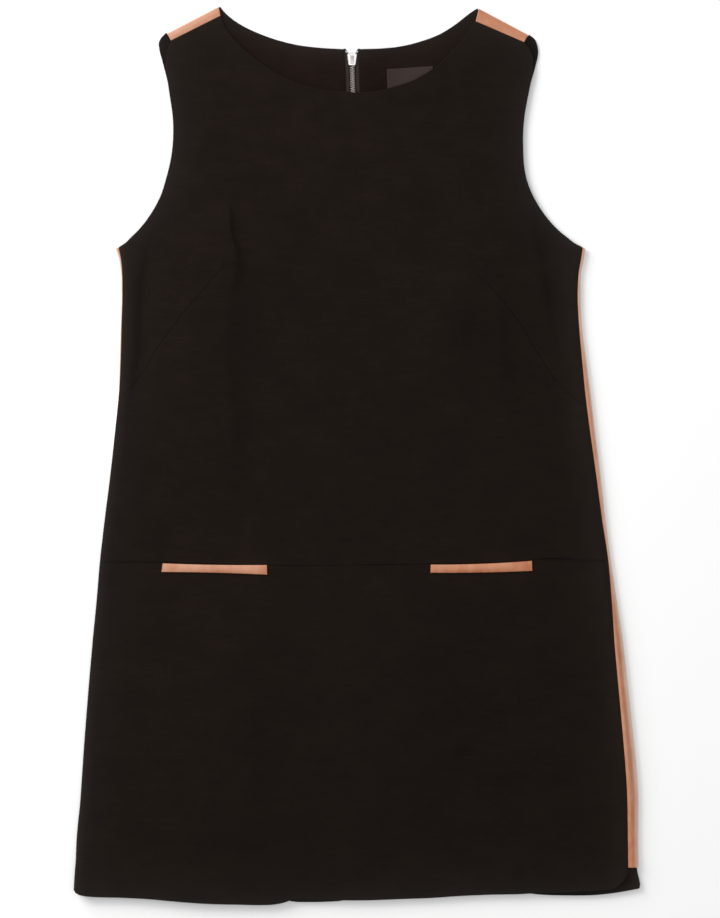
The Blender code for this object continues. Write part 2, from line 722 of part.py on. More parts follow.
def zip_tape(side):
    """A tape between the back's folded edge and the line of teeth."""
    sign = -1 if side == "left" else 1
    low = [ZIP_END + 2 * SEAM, *BODICE_ROWS, ROW_OVER_UNDERARM]
    high = [y for y in CENTRE_ROWS_HIGH if y < TAPE_ROWS_TOP[0]]
    heights = np.array([*low, *high, *TAPE_ROWS_TOP, TAPE_TOP])
    apart = eased((heights - TAPE_MEET) / (TAPE_TOP - TAPE_MEET) * SPLAY_SHARE) / eased(SPLAY_SHARE)
    inner = centre_back(heights) + sign * (SEAM / 2 + (TAPE_SPLAY - SEAM / 2) * apart)
    outer = centre_back(heights) + sign * (OPENING_HALF - SEAM)
    inner = np.stack([inner, heights], axis=-1)
    outer = np.stack([outer, heights], axis=-1)
    first, last = (outer, inner) if side == "left" else (inner, outer)
    points = flat_on_floor(spread(first, last, np.linspace(0, 1, TAPE_COLUMNS)))
    points[..., 2] = back_height(centre_back(heights), heights)[:, None]
    return sheet(f"zip_tape_{side}", points, TAPE, material("zip_tape", TAPE_GREY, 0.85))


def outline_curve(name, loops, half_height):
    """A flat shape: closed loops of points, filled and extruded both ways."""
    curve = bpy.data.curves.new(name, "CURVE")
    curve.dimensions = "2D"
    curve.fill_mode = "BOTH"
    curve.extrude = half_height * MM
    for loop in loops:
        spline = curve.splines.new("POLY")
        spline.points.add(len(loop) - 1)
        for point, (x, y) in zip(spline.points, loop):
            point.co = (x * MM, y * MM, 0, 1)
        spline.use_cyclic_u = True
    return curve


def solid_from_curve(name, loops, low, high, keep=True):
    """The outline as a mesh between two heights, round the slider's middle."""
    curve = outline_curve(name, loops, (high - low) / 2)
    guide = bpy.data.objects.new(name + "_outline", curve)
    collection().objects.link(guide)
    bpy.context.view_layer.update()
    mesh = bpy.data.meshes.new_from_object(guide.evaluated_get(bpy.context.evaluated_depsgraph_get()))
    bpy.data.objects.remove(guide)
    shape = bmesh.new()
    shape.from_mesh(mesh)
    bmesh.ops.remove_doubles(shape, verts=shape.verts, dist=1e-6)
    bmesh.ops.recalc_face_normals(shape, faces=shape.faces)
    shape.to_mesh(mesh)
    shape.free()
    mesh.materials.clear()
    piece = bpy.data.objects.new(name, mesh)
    piece.location = (centre_back(HINGE_Y) * MM, HINGE_Y * MM, (low + high) / 2 * MM)
    if keep:
        collection().objects.link(piece)
    else:
        cutters().objects.link(piece)
        piece.hide_render = True
        piece.display_type = "WIRE"
    return piece


def cutters():
    found = bpy.data.collections.get("cutters")
    if not found:
        found = bpy.data.collections.new("cutters")
        bpy.context.scene.collection.children.link(found)
    return found


def rounded(corners, radius, steps=4):
    """A closed outline with each corner rounded off."""
    corners = np.array(corners, float)
    points = []
    for k, corner in enumerate(corners):
        before = corners[k - 1] - corner
        after = corners[(k + 1) % len(corners)] - corner
        start = corner + before / np.linalg.norm(before) * radius
        end = corner + after / np.linalg.norm(after) * radius
        for share in np.linspace(0, 1, steps + 1):
            near = start * (1 - share) + corner * share
            far = corner * (1 - share) + end * share
            points.append(tuple(near * (1 - share) + far * share))
    return points


def tapered(half_top, half_end, top, end):
    """Corners of a shape that narrows from y = top to y = end."""
    return [(-half_end, end), (half_end, end), (half_top, top), (-half_top, top)]


def combine(piece, other, operation):
    step = piece.modifiers.new(other.name, "BOOLEAN")
    step.operation = operation
    step.object = other
    step.solver = "EXACT"


def zip_slider():
    """Two plates joined by a wedge, with a channel for the chain and a bridge below."""
    half = SLIDER_LENGTH / 2
    low, high = SLIDER_LOW, SLIDER_LOW + 2 * PLATE + CHANNEL
    outline = rounded(tapered(SLIDER_HALF_TOP, SLIDER_HALF_END, half, -half), SLIDER_CORNER)
    body = solid_from_curve("zip_slider", [outline], low, high)
    body.data.materials.append(bright_metal())
    inner = tapered(SLIDER_HALF_TOP - FLANGE, SLIDER_HALF_END - FLANGE, half + 1, -half - 1)
    channel = solid_from_curve("slider_channel", [inner], low + PLATE, high - PLATE, keep=False)
    wide = SLIDER_HALF_TOP + 1
    slot_loop = [(-wide, -half - 1), (wide, -half - 1), (wide, half + 1), (-wide, half + 1)]
    slot = solid_from_curve("slider_slot", [slot_loop], SLOT_LOW, SLOT_HIGH, keep=False)
    wedge_loop = tapered(WEDGE_HALF, WEDGE_TIP_HALF, half - WEDGE_INSET, half - WEDGE_LENGTH)
    wedge = solid_from_curve("slider_wedge", [wedge_loop], low + PLATE / 2, high - PLATE / 2, keep=False)
    reach = BRIDGE_LENGTH / 2
    side_on = [(-reach, -BRIDGE_WIDTH / 2), (reach, -BRIDGE_WIDTH / 2)]
    side_on += [(reach, BRIDGE_WIDTH / 2), (-reach, BRIDGE_WIDTH / 2)]
    turned_round = [(y, x) for x, y in side_on][::-1]
    bridge_low = low - BRIDGE_ROOM - BRIDGE_WALL
    bridge = solid_from_curve("slider_bridge", [turned_round], bridge_low, low + PLATE / 2, keep=False)
    eye = [(-BRIDGE_WIDTH, -reach + BRIDGE_WALL), (BRIDGE_WIDTH, -reach + BRIDGE_WALL)]
    eye += [(BRIDGE_WIDTH, reach - BRIDGE_WALL), (-BRIDGE_WIDTH, reach - BRIDGE_WALL)]
    bridge_eye = solid_from_curve("slider_bridge_eye", [eye], low - BRIDGE_ROOM, low, keep=False)
    combine(body, channel, "DIFFERENCE")
    combine(body, slot, "DIFFERENCE")
    combine(body, wedge, "UNION")
    combine(body, bridge, "UNION")
    combine(body, bridge_eye, "DIFFERENCE")
    return body


def zip_pull():
    """The tab, with its bar in the slider's bridge and its free end near the floor."""
    start, end = PULL_BAR / 2, PULL_BAR / 2 - PULL_LENGTH
    tab = rounded(tapered(PULL_HALF_NECK, PULL_HALF_END, start, end), PULL_CORNER)
    window_end = -PULL_BAR / 2 - PULL_WINDOW_LENGTH
    window = tapered(PULL_WINDOW_HALF, PULL_WINDOW_HALF, -PULL_BAR / 2, window_end)
    piece = solid_from_curve("zip_pull", [tab, window], -PULL_THICK / 2, PULL_THICK / 2)
    piece.data.materials.append(bright_metal())
    drop = HINGE_Z - PULL_THICK / 2 - PULL_FLOOR
    piece.location.z = HINGE_Z * MM
    piece.rotation_euler.x = math.asin(drop / (PULL_LENGTH - PULL_BAR / 2))
    return piece


def clear_scene():
    for piece in list(bpy.data.objects):
        bpy.data.objects.remove(piece)


def build():
    clear_scene()
    front_skirt()
    front_bodice()
    for side in ("left", "right"):
        back_half(side)
        shoulder_strip(side)
        pocket_welt(side)
        zip_tape(side)
    side_stripe("left", left_x, left_seam, LEFT_FOLD_X)
    side_stripe("right", right_x, right_seam, RIGHT_FOLD_X)
    neck_label()
    zip_slider()
    zip_pull()


build()
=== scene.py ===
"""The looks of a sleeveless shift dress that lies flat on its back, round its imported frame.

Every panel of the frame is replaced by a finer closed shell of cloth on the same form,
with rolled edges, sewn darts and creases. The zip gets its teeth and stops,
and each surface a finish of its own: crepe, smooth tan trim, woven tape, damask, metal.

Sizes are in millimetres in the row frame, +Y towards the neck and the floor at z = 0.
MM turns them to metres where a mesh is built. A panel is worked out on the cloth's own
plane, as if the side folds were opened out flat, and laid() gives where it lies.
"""

import math
from collections import namedtuple

import bmesh
import bpy
import numpy as np
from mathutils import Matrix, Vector


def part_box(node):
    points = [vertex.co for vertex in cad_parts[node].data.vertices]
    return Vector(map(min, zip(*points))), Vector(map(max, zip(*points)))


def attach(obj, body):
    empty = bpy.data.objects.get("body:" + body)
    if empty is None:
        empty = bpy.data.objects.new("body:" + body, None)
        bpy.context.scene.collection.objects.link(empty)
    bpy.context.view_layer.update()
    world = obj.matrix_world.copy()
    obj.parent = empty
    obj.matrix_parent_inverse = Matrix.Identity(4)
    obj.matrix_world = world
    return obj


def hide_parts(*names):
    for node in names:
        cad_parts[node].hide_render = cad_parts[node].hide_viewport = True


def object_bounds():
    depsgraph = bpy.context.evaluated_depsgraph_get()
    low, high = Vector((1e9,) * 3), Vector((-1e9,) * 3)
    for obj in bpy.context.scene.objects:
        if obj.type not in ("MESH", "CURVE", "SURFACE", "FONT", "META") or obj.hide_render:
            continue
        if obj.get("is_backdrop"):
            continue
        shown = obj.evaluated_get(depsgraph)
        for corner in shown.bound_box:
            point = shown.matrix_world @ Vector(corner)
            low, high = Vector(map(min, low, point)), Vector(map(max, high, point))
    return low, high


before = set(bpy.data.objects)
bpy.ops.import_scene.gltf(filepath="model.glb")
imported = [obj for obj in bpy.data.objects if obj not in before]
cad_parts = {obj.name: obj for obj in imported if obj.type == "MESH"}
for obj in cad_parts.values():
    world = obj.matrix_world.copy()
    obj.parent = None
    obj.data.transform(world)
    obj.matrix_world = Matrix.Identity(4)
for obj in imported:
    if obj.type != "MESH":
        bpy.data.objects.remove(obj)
cad_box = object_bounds()

MM = 0.001
DRESS = "dress"

# Cloth, seams and folds, as in the frame
CLOTH, WELT, TAPE, LABEL = 1.5, 1.2, 1.0, 0.8
SEAM, BACK_SEAM = 0.3, 0.02  # the gap between two pieces, and half of the centre back's
LAY_GAP = 0.7  # between front and back where nothing lifts the front
LEAST_GAP = 0.25  # the front never lies closer to the back
STEPS_OVER = 6.0  # how sharply the front passes from one resting height to another
FOLD_RADIUS = 2.25
FOLD_OUT = FOLD_RADIUS + CLOTH / 2
QUARTER = FOLD_RADIUS * math.pi / 2
FOLD_TOP = CLOTH / 2 + 2 * FOLD_RADIUS
FOLD_MIDDLE = CLOTH / 2 + FOLD_RADIUS
FOLD_REACH = 12.0  # a side's rounding runs in this far from its outermost line
FOLD_FULL = 1.2  # and is this much fuller than its two layers
HEM_Y, HEM_LIFT, HEM_REACH = -441.0, 3.0, 34.0
SIDE_ROLL, SHOULDER_ROLL = 26.0, 22.0  # the front falls from a fold over this width
ARMHOLE_FADE = 30.0
SEAM_DIP, SEAM_DIP_WIDE = 1.1, 1.7  # a side seam pulls the cloth in
SEAM_ARC = 0.22  # half the gap of a side seam, along the cloth
UNDERARM = 207.0
UNDERARM_SLOPE, UNDERARM_ROUND = 0.45, 2.0
STRIPE_CLIMB = 30.0  # a stripe's rows start to bend up to the armhole this far below it
STRIPE_END, STRIPE_WIDTH = -410.5, 20.0
# The flap of the left vent, which the front covers, is made from these
VENT_TAB_WIDE, VENT_TAB_SLOPE, VENT_TAB_MIDDLE = 12.0, 1.5, 10.0
VENT_CORNER = 1.5
ZIP_END = -94.0

Side = namedtuple("Side", "y left right left_seam right_seam")
SIDES = [
    Side(207, -241.4, 227.3, 4.4, 3.8),
    Side(198, -238.5, 226.0, 3.3, 3.8),
    Side(183, -236.3, 223.0, 2.5, 3.3),
    Side(164, -235.6, 222.4, 1.9, 3.8),
    Side(126, -236.6, 224.1, 1.9, 3.8),
    Side(95, -237.4, 228.0, 1.9, 4.9),
    Side(65, -238.3, 232.0, 1.0, 6.0),
    Side(26, -241.8, 236.6, 0.1, 5.8),
    Side(-19, -246.7, 242.2, -1.2, 5.1),
    Side(-64, -252.3, 247.3, -2.6, 4.2),
    Side(-104, -256.9, 252.5, -3.8, 3.4),
    Side(-144, -260.3, 258.5, -5.0, 6.1),
    Side(-184, -264.2, 264.5, -6.2, 9.4),
    Side(-230, -268.2, 269.7, -7.5, 10.5),
    Side(-279, -272.1, 275.0, -8.7, 11.3),
    Side(-334, -276.1, 279.8, -9.6, 12.0),
    Side(-383, -280.3, 279.8, -10.0, 11.0),
    Side(-437, -283.1, 280.3, -10.0, 11.0),
]
ARMHOLES = {
    "front left": [
        (-230.7, 212.9), (-226.7, 217.1), (-220.7, 222.9), (-215.1, 229), (-208.2, 238),
        (-200.9, 249.9), (-196.4, 259), (-191.5, 274), (-184.6, 306), (-183.8, 331), (-188.5, 368),
        (-191.3, 390), (-189.7, 405), (-185.8, 413.7),
    ],
    "front right": [
        (215.3, 212.9), (210.3, 217.1), (203.1, 222.9), (196.6, 229), (188.7, 238), (180.2, 250),
        (169.2, 274), (165.1, 310), (166, 334), (171.5, 366), (175.3, 386), (172.5, 404),
        (166, 412.1),
    ],
    "back left": [
        (-211, 232.5), (-201, 247), (-190, 275), (-183.7, 306), (-182.9, 331), (-189, 371),
        (-194.5, 393), (-198, 407), (-198.4, 412.5), (-196.6, 416.6), (-190.9, 422.7),
    ],
    "back right": [
        (192, 232.5), (179.5, 247), (167.6, 275), (162.9, 310), (164.4, 334), (171.2, 367),
        (177.4, 388), (180.2, 406), (178.9, 411.5), (177, 416), (171.1, 420.6),
    ],
}
FRONT_NECK = [
    (-136.5, 438.4), (-133.2, 429.3), (-125, 418), (-107, 400.2), (-86, 384.9), (-63, 373.1),
    (-40, 366.2), (-18, 363.4), (3, 362.5), (12.5, 363), (24, 364.7), (35, 367.6), (45, 370.5),
    (55, 374.3), (65, 379.5), (75, 386), (84, 393.3), (92, 400.9), (100, 409.6), (106, 416.9),
    (112, 425.2), (117.8, 433),
]
BACK_NECKS = {
    "left": [
        (-137.4, 448.9), (-135.3, 445.9), (-127.5, 438.2), (-117.5, 431.2), (-97.5, 421.5),
        (-67.5, 412), (-37.5, 407.2), (-13.5, 405.4),
    ],
    "right": [
        (119.6, 447), (112.5, 442.3), (97.5, 430.7), (82.5, 421.4), (62.5, 413.8), (42.5, 408.9),
        (22.5, 406.4), (2, 405.5),
    ],
}
DROP_WAIST = [
    (-262, -105.2), (-193, -106), (-90, -108.8), (0, -108.8), (72, -107.6), (175, -104.2),
    (197, -102.2), (220, -103.8), (250, -104.8),
]
FRONT_HEM = [
    (-288, -427), (-279.5, -436), (-266.8, -439), (-256.8, -439.6), (-236.9, -440), (-207, -441.5),
    (-177, -444.2), (-147.1, -446.2), (-117.2, -447), (-97.2, -447.4), (-82.3, -446.8),
    (-72.3, -444.7), (-66.5, -442.6), (-57.3, -442), (-32.4, -442.4), (-12.5, -442.8),
    (12.5, -442.7), (42.4, -441.5), (72.3, -440.5), (102.2, -438.5), (132.1, -437.2), (162, -436.6),
    (182, -435.4), (203, -435.2), (217, -434.8), (231, -434.2), (242, -433.2), (249, -432.4),
    (254, -431.5), (258.4, -429.4), (262.8, -425.6), (266.9, -420.4),
]
BACK_HEMS = {
    "left": [
        (-264.5, -432.7), (-200, -439.2), (-110, -444.2), (-72, -442.6), (-66, -444.1),
        (-47.4, -444.9), (-32.4, -444.6), (-17.5, -443.8), (-8, -442.2), (0, -441.7),
    ],
    "right": [
        (280.1, -431.6), (273.1, -433), (259.1, -435.4), (238.1, -437.8), (210.2, -438.3),
        (182.2, -437.4), (166, -435.8), (120, -436.2), (80, -438.2), (0, -441.7),
    ],
}
VENT_TAB_RIGHT = [
    (281.8, -430.5), (282.2, -428.5), (281.2, -423), (279.5, -416.7), (278.7, -410.8),
]
Shoulder = namedtuple("Shoulder", "fold_neck fold_arm seam_neck seam_arm")
SHOULDERS = {
    "left": Shoulder((-138.5, 448.1), (-189.8, 421.4), (-136.5, 438.4), (-185.8, 413.7)),
    "right": Shoulder((121.0, 446.2), (170.2, 420.0), (117.8, 433.0), (166.0, 412.1)),
}
Swell = namedtuple("Swell", "x y across along lean rise")
FRONT_SWELLS = [
    Swell(-128, 200, 48, 80, 8, 1.7),
    Swell(125, 196, 48, 78, -8, 1.7),
    Swell(-160, 60, 30, 120, 6, 0.9),
    Swell(150, 40, 36, 120, -6, 1.0),
    Swell(-40, -20, 60, 130, 4, 0.7),
    Swell(60, -250, 70, 130, -5, 0.9),
    Swell(-150, -270, 60, 120, 8, 1.1),
    Swell(190, -300, 40, 110, -8, 1.0),
    Swell(-10, 320, 90, 60, 0, 0.8),
]
CENTRE_BACK = [(-450, 0), (-100, 0), (150, -1.5), (330, -3.6), (363, -4.5), (405, -5.75)]
ZipLift = namedtuple("ZipLift", "y lift reach")
ZIP_LIFTS = [
    ZipLift(-125, 0.0, 18),
    ZipLift(-108, 0.0, 18),
    ZipLift(-88, 0.85, 18),
    ZipLift(325, 0.85, 18),
    ZipLift(347, 1.2, 24),
    ZipLift(360, 1.85, 31),
    ZipLift(370, 2.6, 38),
    ZipLift(380, 3.6, 44),
    ZipLift(389, 4.45, 50),
    ZipLift(420, 4.45, 50),
]
CHAIN_ROOM, CHAIN_REACH = 0.6, 9.0  # the teeth lift the front, over this width
OPENING_HALF = 7.75
TAPE_TUCK = 0.4  # how far the tape runs into the fold of the cloth
TAPE_TOP, TAPE_MEET = 405.9, 391.0
TAPE_SPLAY, SPLAY_SHARE = 6.0, 0.625  # the tapes part by an eased curve, cut off at this share
SLIDER_TOP_Y, SLIDER_LENGTH = 400.5, 11.2
WELT_CORNERS = {
    "left": ((-195.2, -115.6), (-89.9, -118.3), (-90.2, -108.6), (-193.9, -106.9)),
    "right": ((72.7, -116.4), (174.4, -114.6), (174.0, -104.5), (73.1, -108.2)),
}
WELT_WAISTS = {"left": 1.4, "right": 0.5}  # how much narrower each is along its middle
STRIP_RISE = 0.45  # a shoulder strip stands this far over the front at its seam
WELT_FULL = 0.8
WELT_SAGS = {"left": 0.0, "right": 0.9}
LABEL_CORNERS = ((30.0, 363.5), (76.8, 366.6), (75.2, 389.1), (29.2, 386.0))
LABEL_ROLL, LABEL_ABOVE = 0.25, CLOTH / 2 + SEAM + LABEL / 2
LABEL_SIZE = (48.0, 28.0)
LABEL_MARGINS = (18.0, 16.0)

# Sewing that the frame leaves out. A French dart runs from a side seam to below the bust.
DART_ROW = [
    (-241.5, 51), (-238.5, 55), (-230.2, 64), (-221, 74), (-209.6, 90), (-199.4, 107.6),
    (-188, 123), (-172.7, 143.3), (-154.8, 162.8), (-140.8, 180.6), (-129.3, 192), (-60, 204),
    (0, 206), (60, 205), (110.2, 194), (122, 179.5), (139.4, 161.8), (158, 138), (167.3, 126),
    (175.3, 111.3), (188.6, 90), (199.2, 75.3), (212.5, 60.7), (223.2, 52.7), (229.5, 49),
    (232.5, 48),
]
DART_TIPS = (-129.0, 112.0)  # x of each dart's point
DART_FADES = (6.0, 22.0)  # the stitching runs out over this length before its point
DART_STEPS = (0.26, 0.15)  # how far the cloth above the seam stands over the cloth below
DART_RISE, DART_ROLL = 0.8, 9.0  # it climbs to that step, and falls off again, over these
DART_DEEPS, DART_WIDES = (0.16, 1.1), (0.5, 0.7)  # the seam's groove

# The front stands a little off the back in the middle, which hides the zip behind it.
FRONT_AIR = [
    Swell(-4, 130, 150, 330, 0, 2.0),
    Swell(-4, -120, 90, 130, 0, 0.9),
    Swell(-4, 372, 120, 60, 0, 1.2),
    Swell(-92, 394, 46, 30, 0, 1.0),
    Swell(-150, 120, 85, 190, 3, 2.6),
    Swell(-190, -260, 100, 260, 4, 3.4),
]

# Creases: a soft ridge (rise over 0) or trough (rise under 0) along a path.
# before and after are how far it spreads on the left and on the right of the path.
CREASE_FREE = 6.0  # they start this far in from a side's fold
CREASE_FADES = (0.35, 0.3)  # share of the path that fades, at its lower and its upper end
Crease = namedtuple("Crease", "path before after rise")
FRONT_CREASES = [
    Crease([(-131, 262), (-128.5, 244), (-126, 224), (-122, 207), (-119.6, 194), (-121, 180),
            (-129, 156)], 50, 4.6, 3.3),
    Crease([(-126.4, 240), (-125, 233), (-122.6, 218), (-118.8, 203), (-116.8, 192),
            (-117.2, 181)], 1.8, 2.2, -0.85),
    Crease([(-131, 206), (-133, 156), (-133, 113), (-131, 87), (-128, 30),
            (-124, -60)], 50, 17, 3.4),
    Crease([(90, 196), (93, 160), (97, 128), (103, 92), (108, 50)], 46, 38, 4.4),
    Crease([(110, 214), (113, 200), (119, 186)], 4, 8, -0.8),
    Crease([(138, 180), (142, 142), (143, 108), (143, 45)], 16, 8, 1.1),
    Crease([(176, 256), (180.7, 234), (184.7, 215), (188.7, 199), (192.7, 186), (194, 172),
            (194.5, 159), (199.3, 140), (202, 119), (206, 84)], 5.6, 15, -3.2),
    Crease([(-188, 244), (-197, 226), (-204.7, 212), (-208.6, 196), (-211.2, 181), (-213.6, 153),
            (-215.2, 138), (-215.4, 118), (-216.2, 100), (-218, 84), (-223, 54),
            (-227, 24)], 5.4, 20, -2.4),
    Crease([(-108, -100), (-112, -220), (-118, -330), (-122, -450)], 80, 36, 3),
    Crease([(44, -100), (46, -230), (40, -340), (34, -450)], 90, 60, 4.2),
    Crease([(240, -40), (252, -140), (262, -230), (268, -330), (270, -430)], 30, 16, 2.2),
    Crease([(206, 40), (214, -20), (228, -90)], 34, 20, 1.3),
    Crease([(-170, 330), (-150, 280), (-140, 240)], 30, 26, 1.2),
    Crease([(60, 330), (100, 290), (128, 250)], 26, 22, 0.8),
]

BACK_CREASES = [
    Crease([(-66, 310), (-60, 225), (-64, 120)], 22, 26, 0.9),
    Crease([(72, 285), (78, 180), (70, 60)], 26, 20, 0.8),
    Crease([(-146, 60), (-155, -50), (-158, -170)], 30, 24, 1),
    Crease([(116, -50), (126, -180), (128, -310)], 34, 26, 1.1),
    Crease([(-88, -190), (-97, -300), (-96, -405)], 28, 30, 0.8),
    Crease([(166, 130), (177, 50), (184, -30)], 18, 22, 0.6),
]


def through(rows):
    """The smooth function through (t, value) rows, held level past its ends."""
    t, v = np.array(rows, float).T
    if t[0] > t[-1]:
        t, v = t[::-1], v[::-1]
    slope = np.gradient(v, t)

    def value(at):
        at = np.clip(at, t[0], t[-1])
        i = np.clip(np.searchsorted(t, at) - 1, 0, len(t) - 2)
        step = t[i + 1] - t[i]
        s = (at - t[i]) / step
        ends = v[i] * (1 + 2 * s) * (1 - s) ** 2 + v[i + 1] * s * s * (3 - 2 * s)
        return ends + step * s * (1 - s) * (slope[i] * (1 - s) - slope[i + 1] * s)

    return value


def lengths(points):
    """How far along a path each of its points lies."""
    return np.append(0, np.cumsum(np.linalg.norm(np.diff(points, axis=0), axis=1)))


def smooth(points, count=400):
    """The smooth path through points, as many close points."""
    points = np.array(points, float)
    run = lengths(points)
    run /= run[-1]
    shares = np.linspace(0, 1, count)
    smoothed = [through(np.stack([run, points[:, k]], axis=1))(shares) for k in (0, 1)]
    return np.stack(smoothed, axis=-1)


def column(table, name):
    return through([(row.y, getattr(row, name)) for row in table])


def eased(share):
    """0 to 1 with level ends."""
    share = np.clip(share, 0, 1)
    return share * share * (3 - 2 * share)


left_of = column(SIDES, "left")
right_of = column(SIDES, "right")
left_seam = column(SIDES, "left_seam")
right_seam = column(SIDES, "right_seam")
centre_back = through(CENTRE_BACK)
zip_lift = column(ZIP_LIFTS, "lift")
zip_reach = column(ZIP_LIFTS, "reach")
drop_waist = through(DROP_WAIST)
dart_row = through(DART_ROW)


def left_x(y, arc):
    """Opened-out x of the cloth this arc from the left fold's outermost line."""
    return left_of(y) + FOLD_OUT - QUARTER + arc


def right_x(y, arc):
    return right_of(y) - FOLD_OUT + QUARTER - arc


# Each side's way outwards, and its fold: x of an arc, the arc of its seam, x at the underarm
SIGNS = {"left": -1, "right": 1}
Fold = namedtuple("Fold", "x_at seam underarm_x")
FOLDS = {
    "left": Fold(left_x, left_seam, left_x(UNDERARM, 0)),
    "right": Fold(right_x, right_seam, right_x(UNDERARM, 0)),
}


def underarm_rise(off):
    """How far the armhole's edge climbs, off to one side of the fold that it crosses."""
    return UNDERARM_SLOPE * (np.hypot(off, UNDERARM_ROUND) - UNDERARM_ROUND)


def hem_lift(y):
    """How far the stiff hem stands off the floor."""
    return HEM_LIFT * np.exp(-(((y - HEM_Y) / HEM_REACH) ** 2))


def back_height(x, y):
    """Middle of the back's wall: flat on the floor, but lifted by the zip and at the hem."""
    off = np.abs(x - centre_back(y)) - OPENING_HALF
    zipped = zip_lift(y) * (1 - eased(off / zip_reach(y)))
    return CLOTH / 2 + hem_lift(y) + zipped + sum(crease(x, y, row) for row in BACK_CREASES)


def swell(x, y, row):
    lean = math.radians(row.lean)
    across = (x - row.x) * math.cos(lean) + (y - row.y) * math.sin(lean)
    lengthwise = (y - row.y) * math.cos(lean) - (x - row.x) * math.sin(lean)
    return row.rise * np.exp(-((across / row.across) ** 2) - (lengthwise / row.along) ** 2)


def from_line(x, y, start, end):
    """Distance from the stretch between two points."""
    start, end = np.array(start), np.array(end)
    way = end - start
    share = ((x - start[0]) * way[0] + (y - start[1]) * way[1]) / (way @ way)
    share = np.clip(share, 0, 1)
    return np.hypot(x - start[0] - share * way[0], y - start[1] - share * way[1])


def label_room(x, y):
    """How far the label lifts the front that covers its lower edge."""
    centre = np.mean(LABEL_CORNERS, axis=0)
    beside = (np.abs(x - centre[0]) - LABEL_SIZE[0] / 2) / LABEL_MARGINS[0]
    below = (centre[1] - LABEL_SIZE[1] / 2 - y) / LABEL_MARGINS[1]
    return (LABEL + SEAM) * (1 - eased(beside)) * (1 - eased(below))


def crease(x, y, row):
    """A ridge or trough along a path that runs mostly down the dress, fading at its ends."""
    path = np.array(row.path, float)
    middle = through(path[::-1, ::-1])
    top, end = path[0, 1], path[-1, 1]
    off = x - middle(y)
    off = off / np.where(off < 0, row.before, row.after)
    share = (y - end) / (top - end)
    fade = eased(share / CREASE_FADES[0]) * eased((1 - share) / CREASE_FADES[1])
    near_side = np.exp(-(off**2))
    far_side = 1 / (1 + off**2) ** 1.5
    return row.rise * np.where(off < 0, near_side, far_side) * fade


def dart_line(x, y):
    """How far the stitched darts pull the front in, and lift the cloth above them."""
    off = y - dart_row(x)
    away = off / np.hypot(1, dart_row(x + 0.5) - dart_row(x - 0.5))
    side = (x > 0).astype(int)
    inside = np.where(side, x - DART_TIPS[1], DART_TIPS[0] - x) / np.take(DART_FADES, side)
    upper = eased(away / DART_RISE) * (1 - eased((away - 1) / DART_ROLL))
    groove = np.exp(-((away / np.take(DART_WIDES, side)) ** 2))
    return eased(inside) * (np.take(DART_STEPS, side) * upper - np.take(DART_DEEPS, side) * groove)


def front_height(x, y):
    """Middle of the front's wall, resting on the back and lifted by the folds."""
    gap = LAY_GAP + sum(swell(x, y, row) for row in FRONT_SWELLS + FRONT_AIR) + label_room(x, y)
    teeth = CHAIN_ROOM * np.exp(-(((x - centre_back(y)) / CHAIN_REACH) ** 2))
    least = back_height(x, y) + CLOTH + teeth * (zip_lift(y) > 0) + LEAST_GAP
    beside = np.minimum(x - left_of(y), right_of(y) - x)
    at_side = 1 - eased((beside - FOLD_OUT) / SIDE_ROLL)
    at_side = at_side * (1 - eased((y - UNDERARM) / ARMHOLE_FADE))
    lift = at_side
    for row in SHOULDERS.values():
        away = from_line(x, y, row.fold_neck, row.fold_arm)
        lift = np.maximum(lift, 1 - eased((away - FOLD_OUT) / SHOULDER_ROLL))
    shaped = CLOTH * 1.5 + gap
    top = FOLD_TOP + FOLD_FULL * at_side
    shaped = shaped + (np.maximum(top, shaped) - shaped) * lift + hem_lift(y)
    free = eased((beside - FOLD_OUT) / CREASE_FREE)
    shaped = shaped + free * sum(crease(x, y, row) for row in FRONT_CREASES)
    return least + np.logaddexp(0, (shaped - least) * STEPS_OVER) / STEPS_OVER


def turned(arc):
    """How far in from a fold's outermost line a point of its arc lies, and its height."""
    angle = np.clip(arc, -QUARTER, QUARTER) / FOLD_RADIUS
    past = np.maximum(np.abs(arc) - QUARTER, 0)
    return FOLD_OUT - FOLD_RADIUS * np.cos(angle) + past, FOLD_MIDDLE + FOLD_RADIUS * np.sin(angle)


def rounded(away):
    """The share of its height that a side has reached this far in from its outermost line."""
    short = 1 - np.clip((away - CLOTH / 2) / FOLD_REACH, 0, 1)
    return np.sqrt(1 - short**2)


def laid(flat):
    """Where the front and side pieces lie: opened-out (x, y) to (x, y, z)."""
    x, y = flat[..., 0], flat[..., 1]
    arc_left = x - left_of(y) - FOLD_OUT + QUARTER
    arc_right = right_of(y) - x - FOLD_OUT + QUARTER
    from_left, left_z = turned(arc_left)
    from_right, right_z = turned(arc_right)
    on_left, on_right = left_of(y) + from_left, right_of(y) - from_right
    place = np.where(arc_left < QUARTER, on_left, np.where(arc_right < QUARTER, on_right, x))
    middle = FOLD_MIDDLE + hem_lift(y)
    share = rounded(place - left_of(y)) * rounded(right_of(y) - place)
    top = middle + (front_height(place, y) - middle) * share
    for arc, seam in ((arc_left, left_seam(y)), (arc_right, right_seam(y))):
        pulled = np.exp(-(((arc - seam) / SEAM_DIP_WIDE) ** 2))
        top = top - SEAM_DIP * eased((seam - 1) / 2) * pulled
    below = np.where(arc_left < 0, left_z, right_z) + hem_lift(y)
    z = np.where((arc_left < 0) | (arc_right < 0), below, top)
    return np.stack([place, y, z], axis=-1)


def lifted(flat, height):
    """Flat points at a height each."""
    return np.concatenate([flat, height[..., None]], axis=-1)


def flat_on_floor(flat, above=0.0):
    """Where the back pieces lie, or what lies above them."""
    return lifted(flat, back_height(flat[..., 0], flat[..., 1]) + above)


# Fine grids. Columns and rows crowd together at an edge, which rolls over.

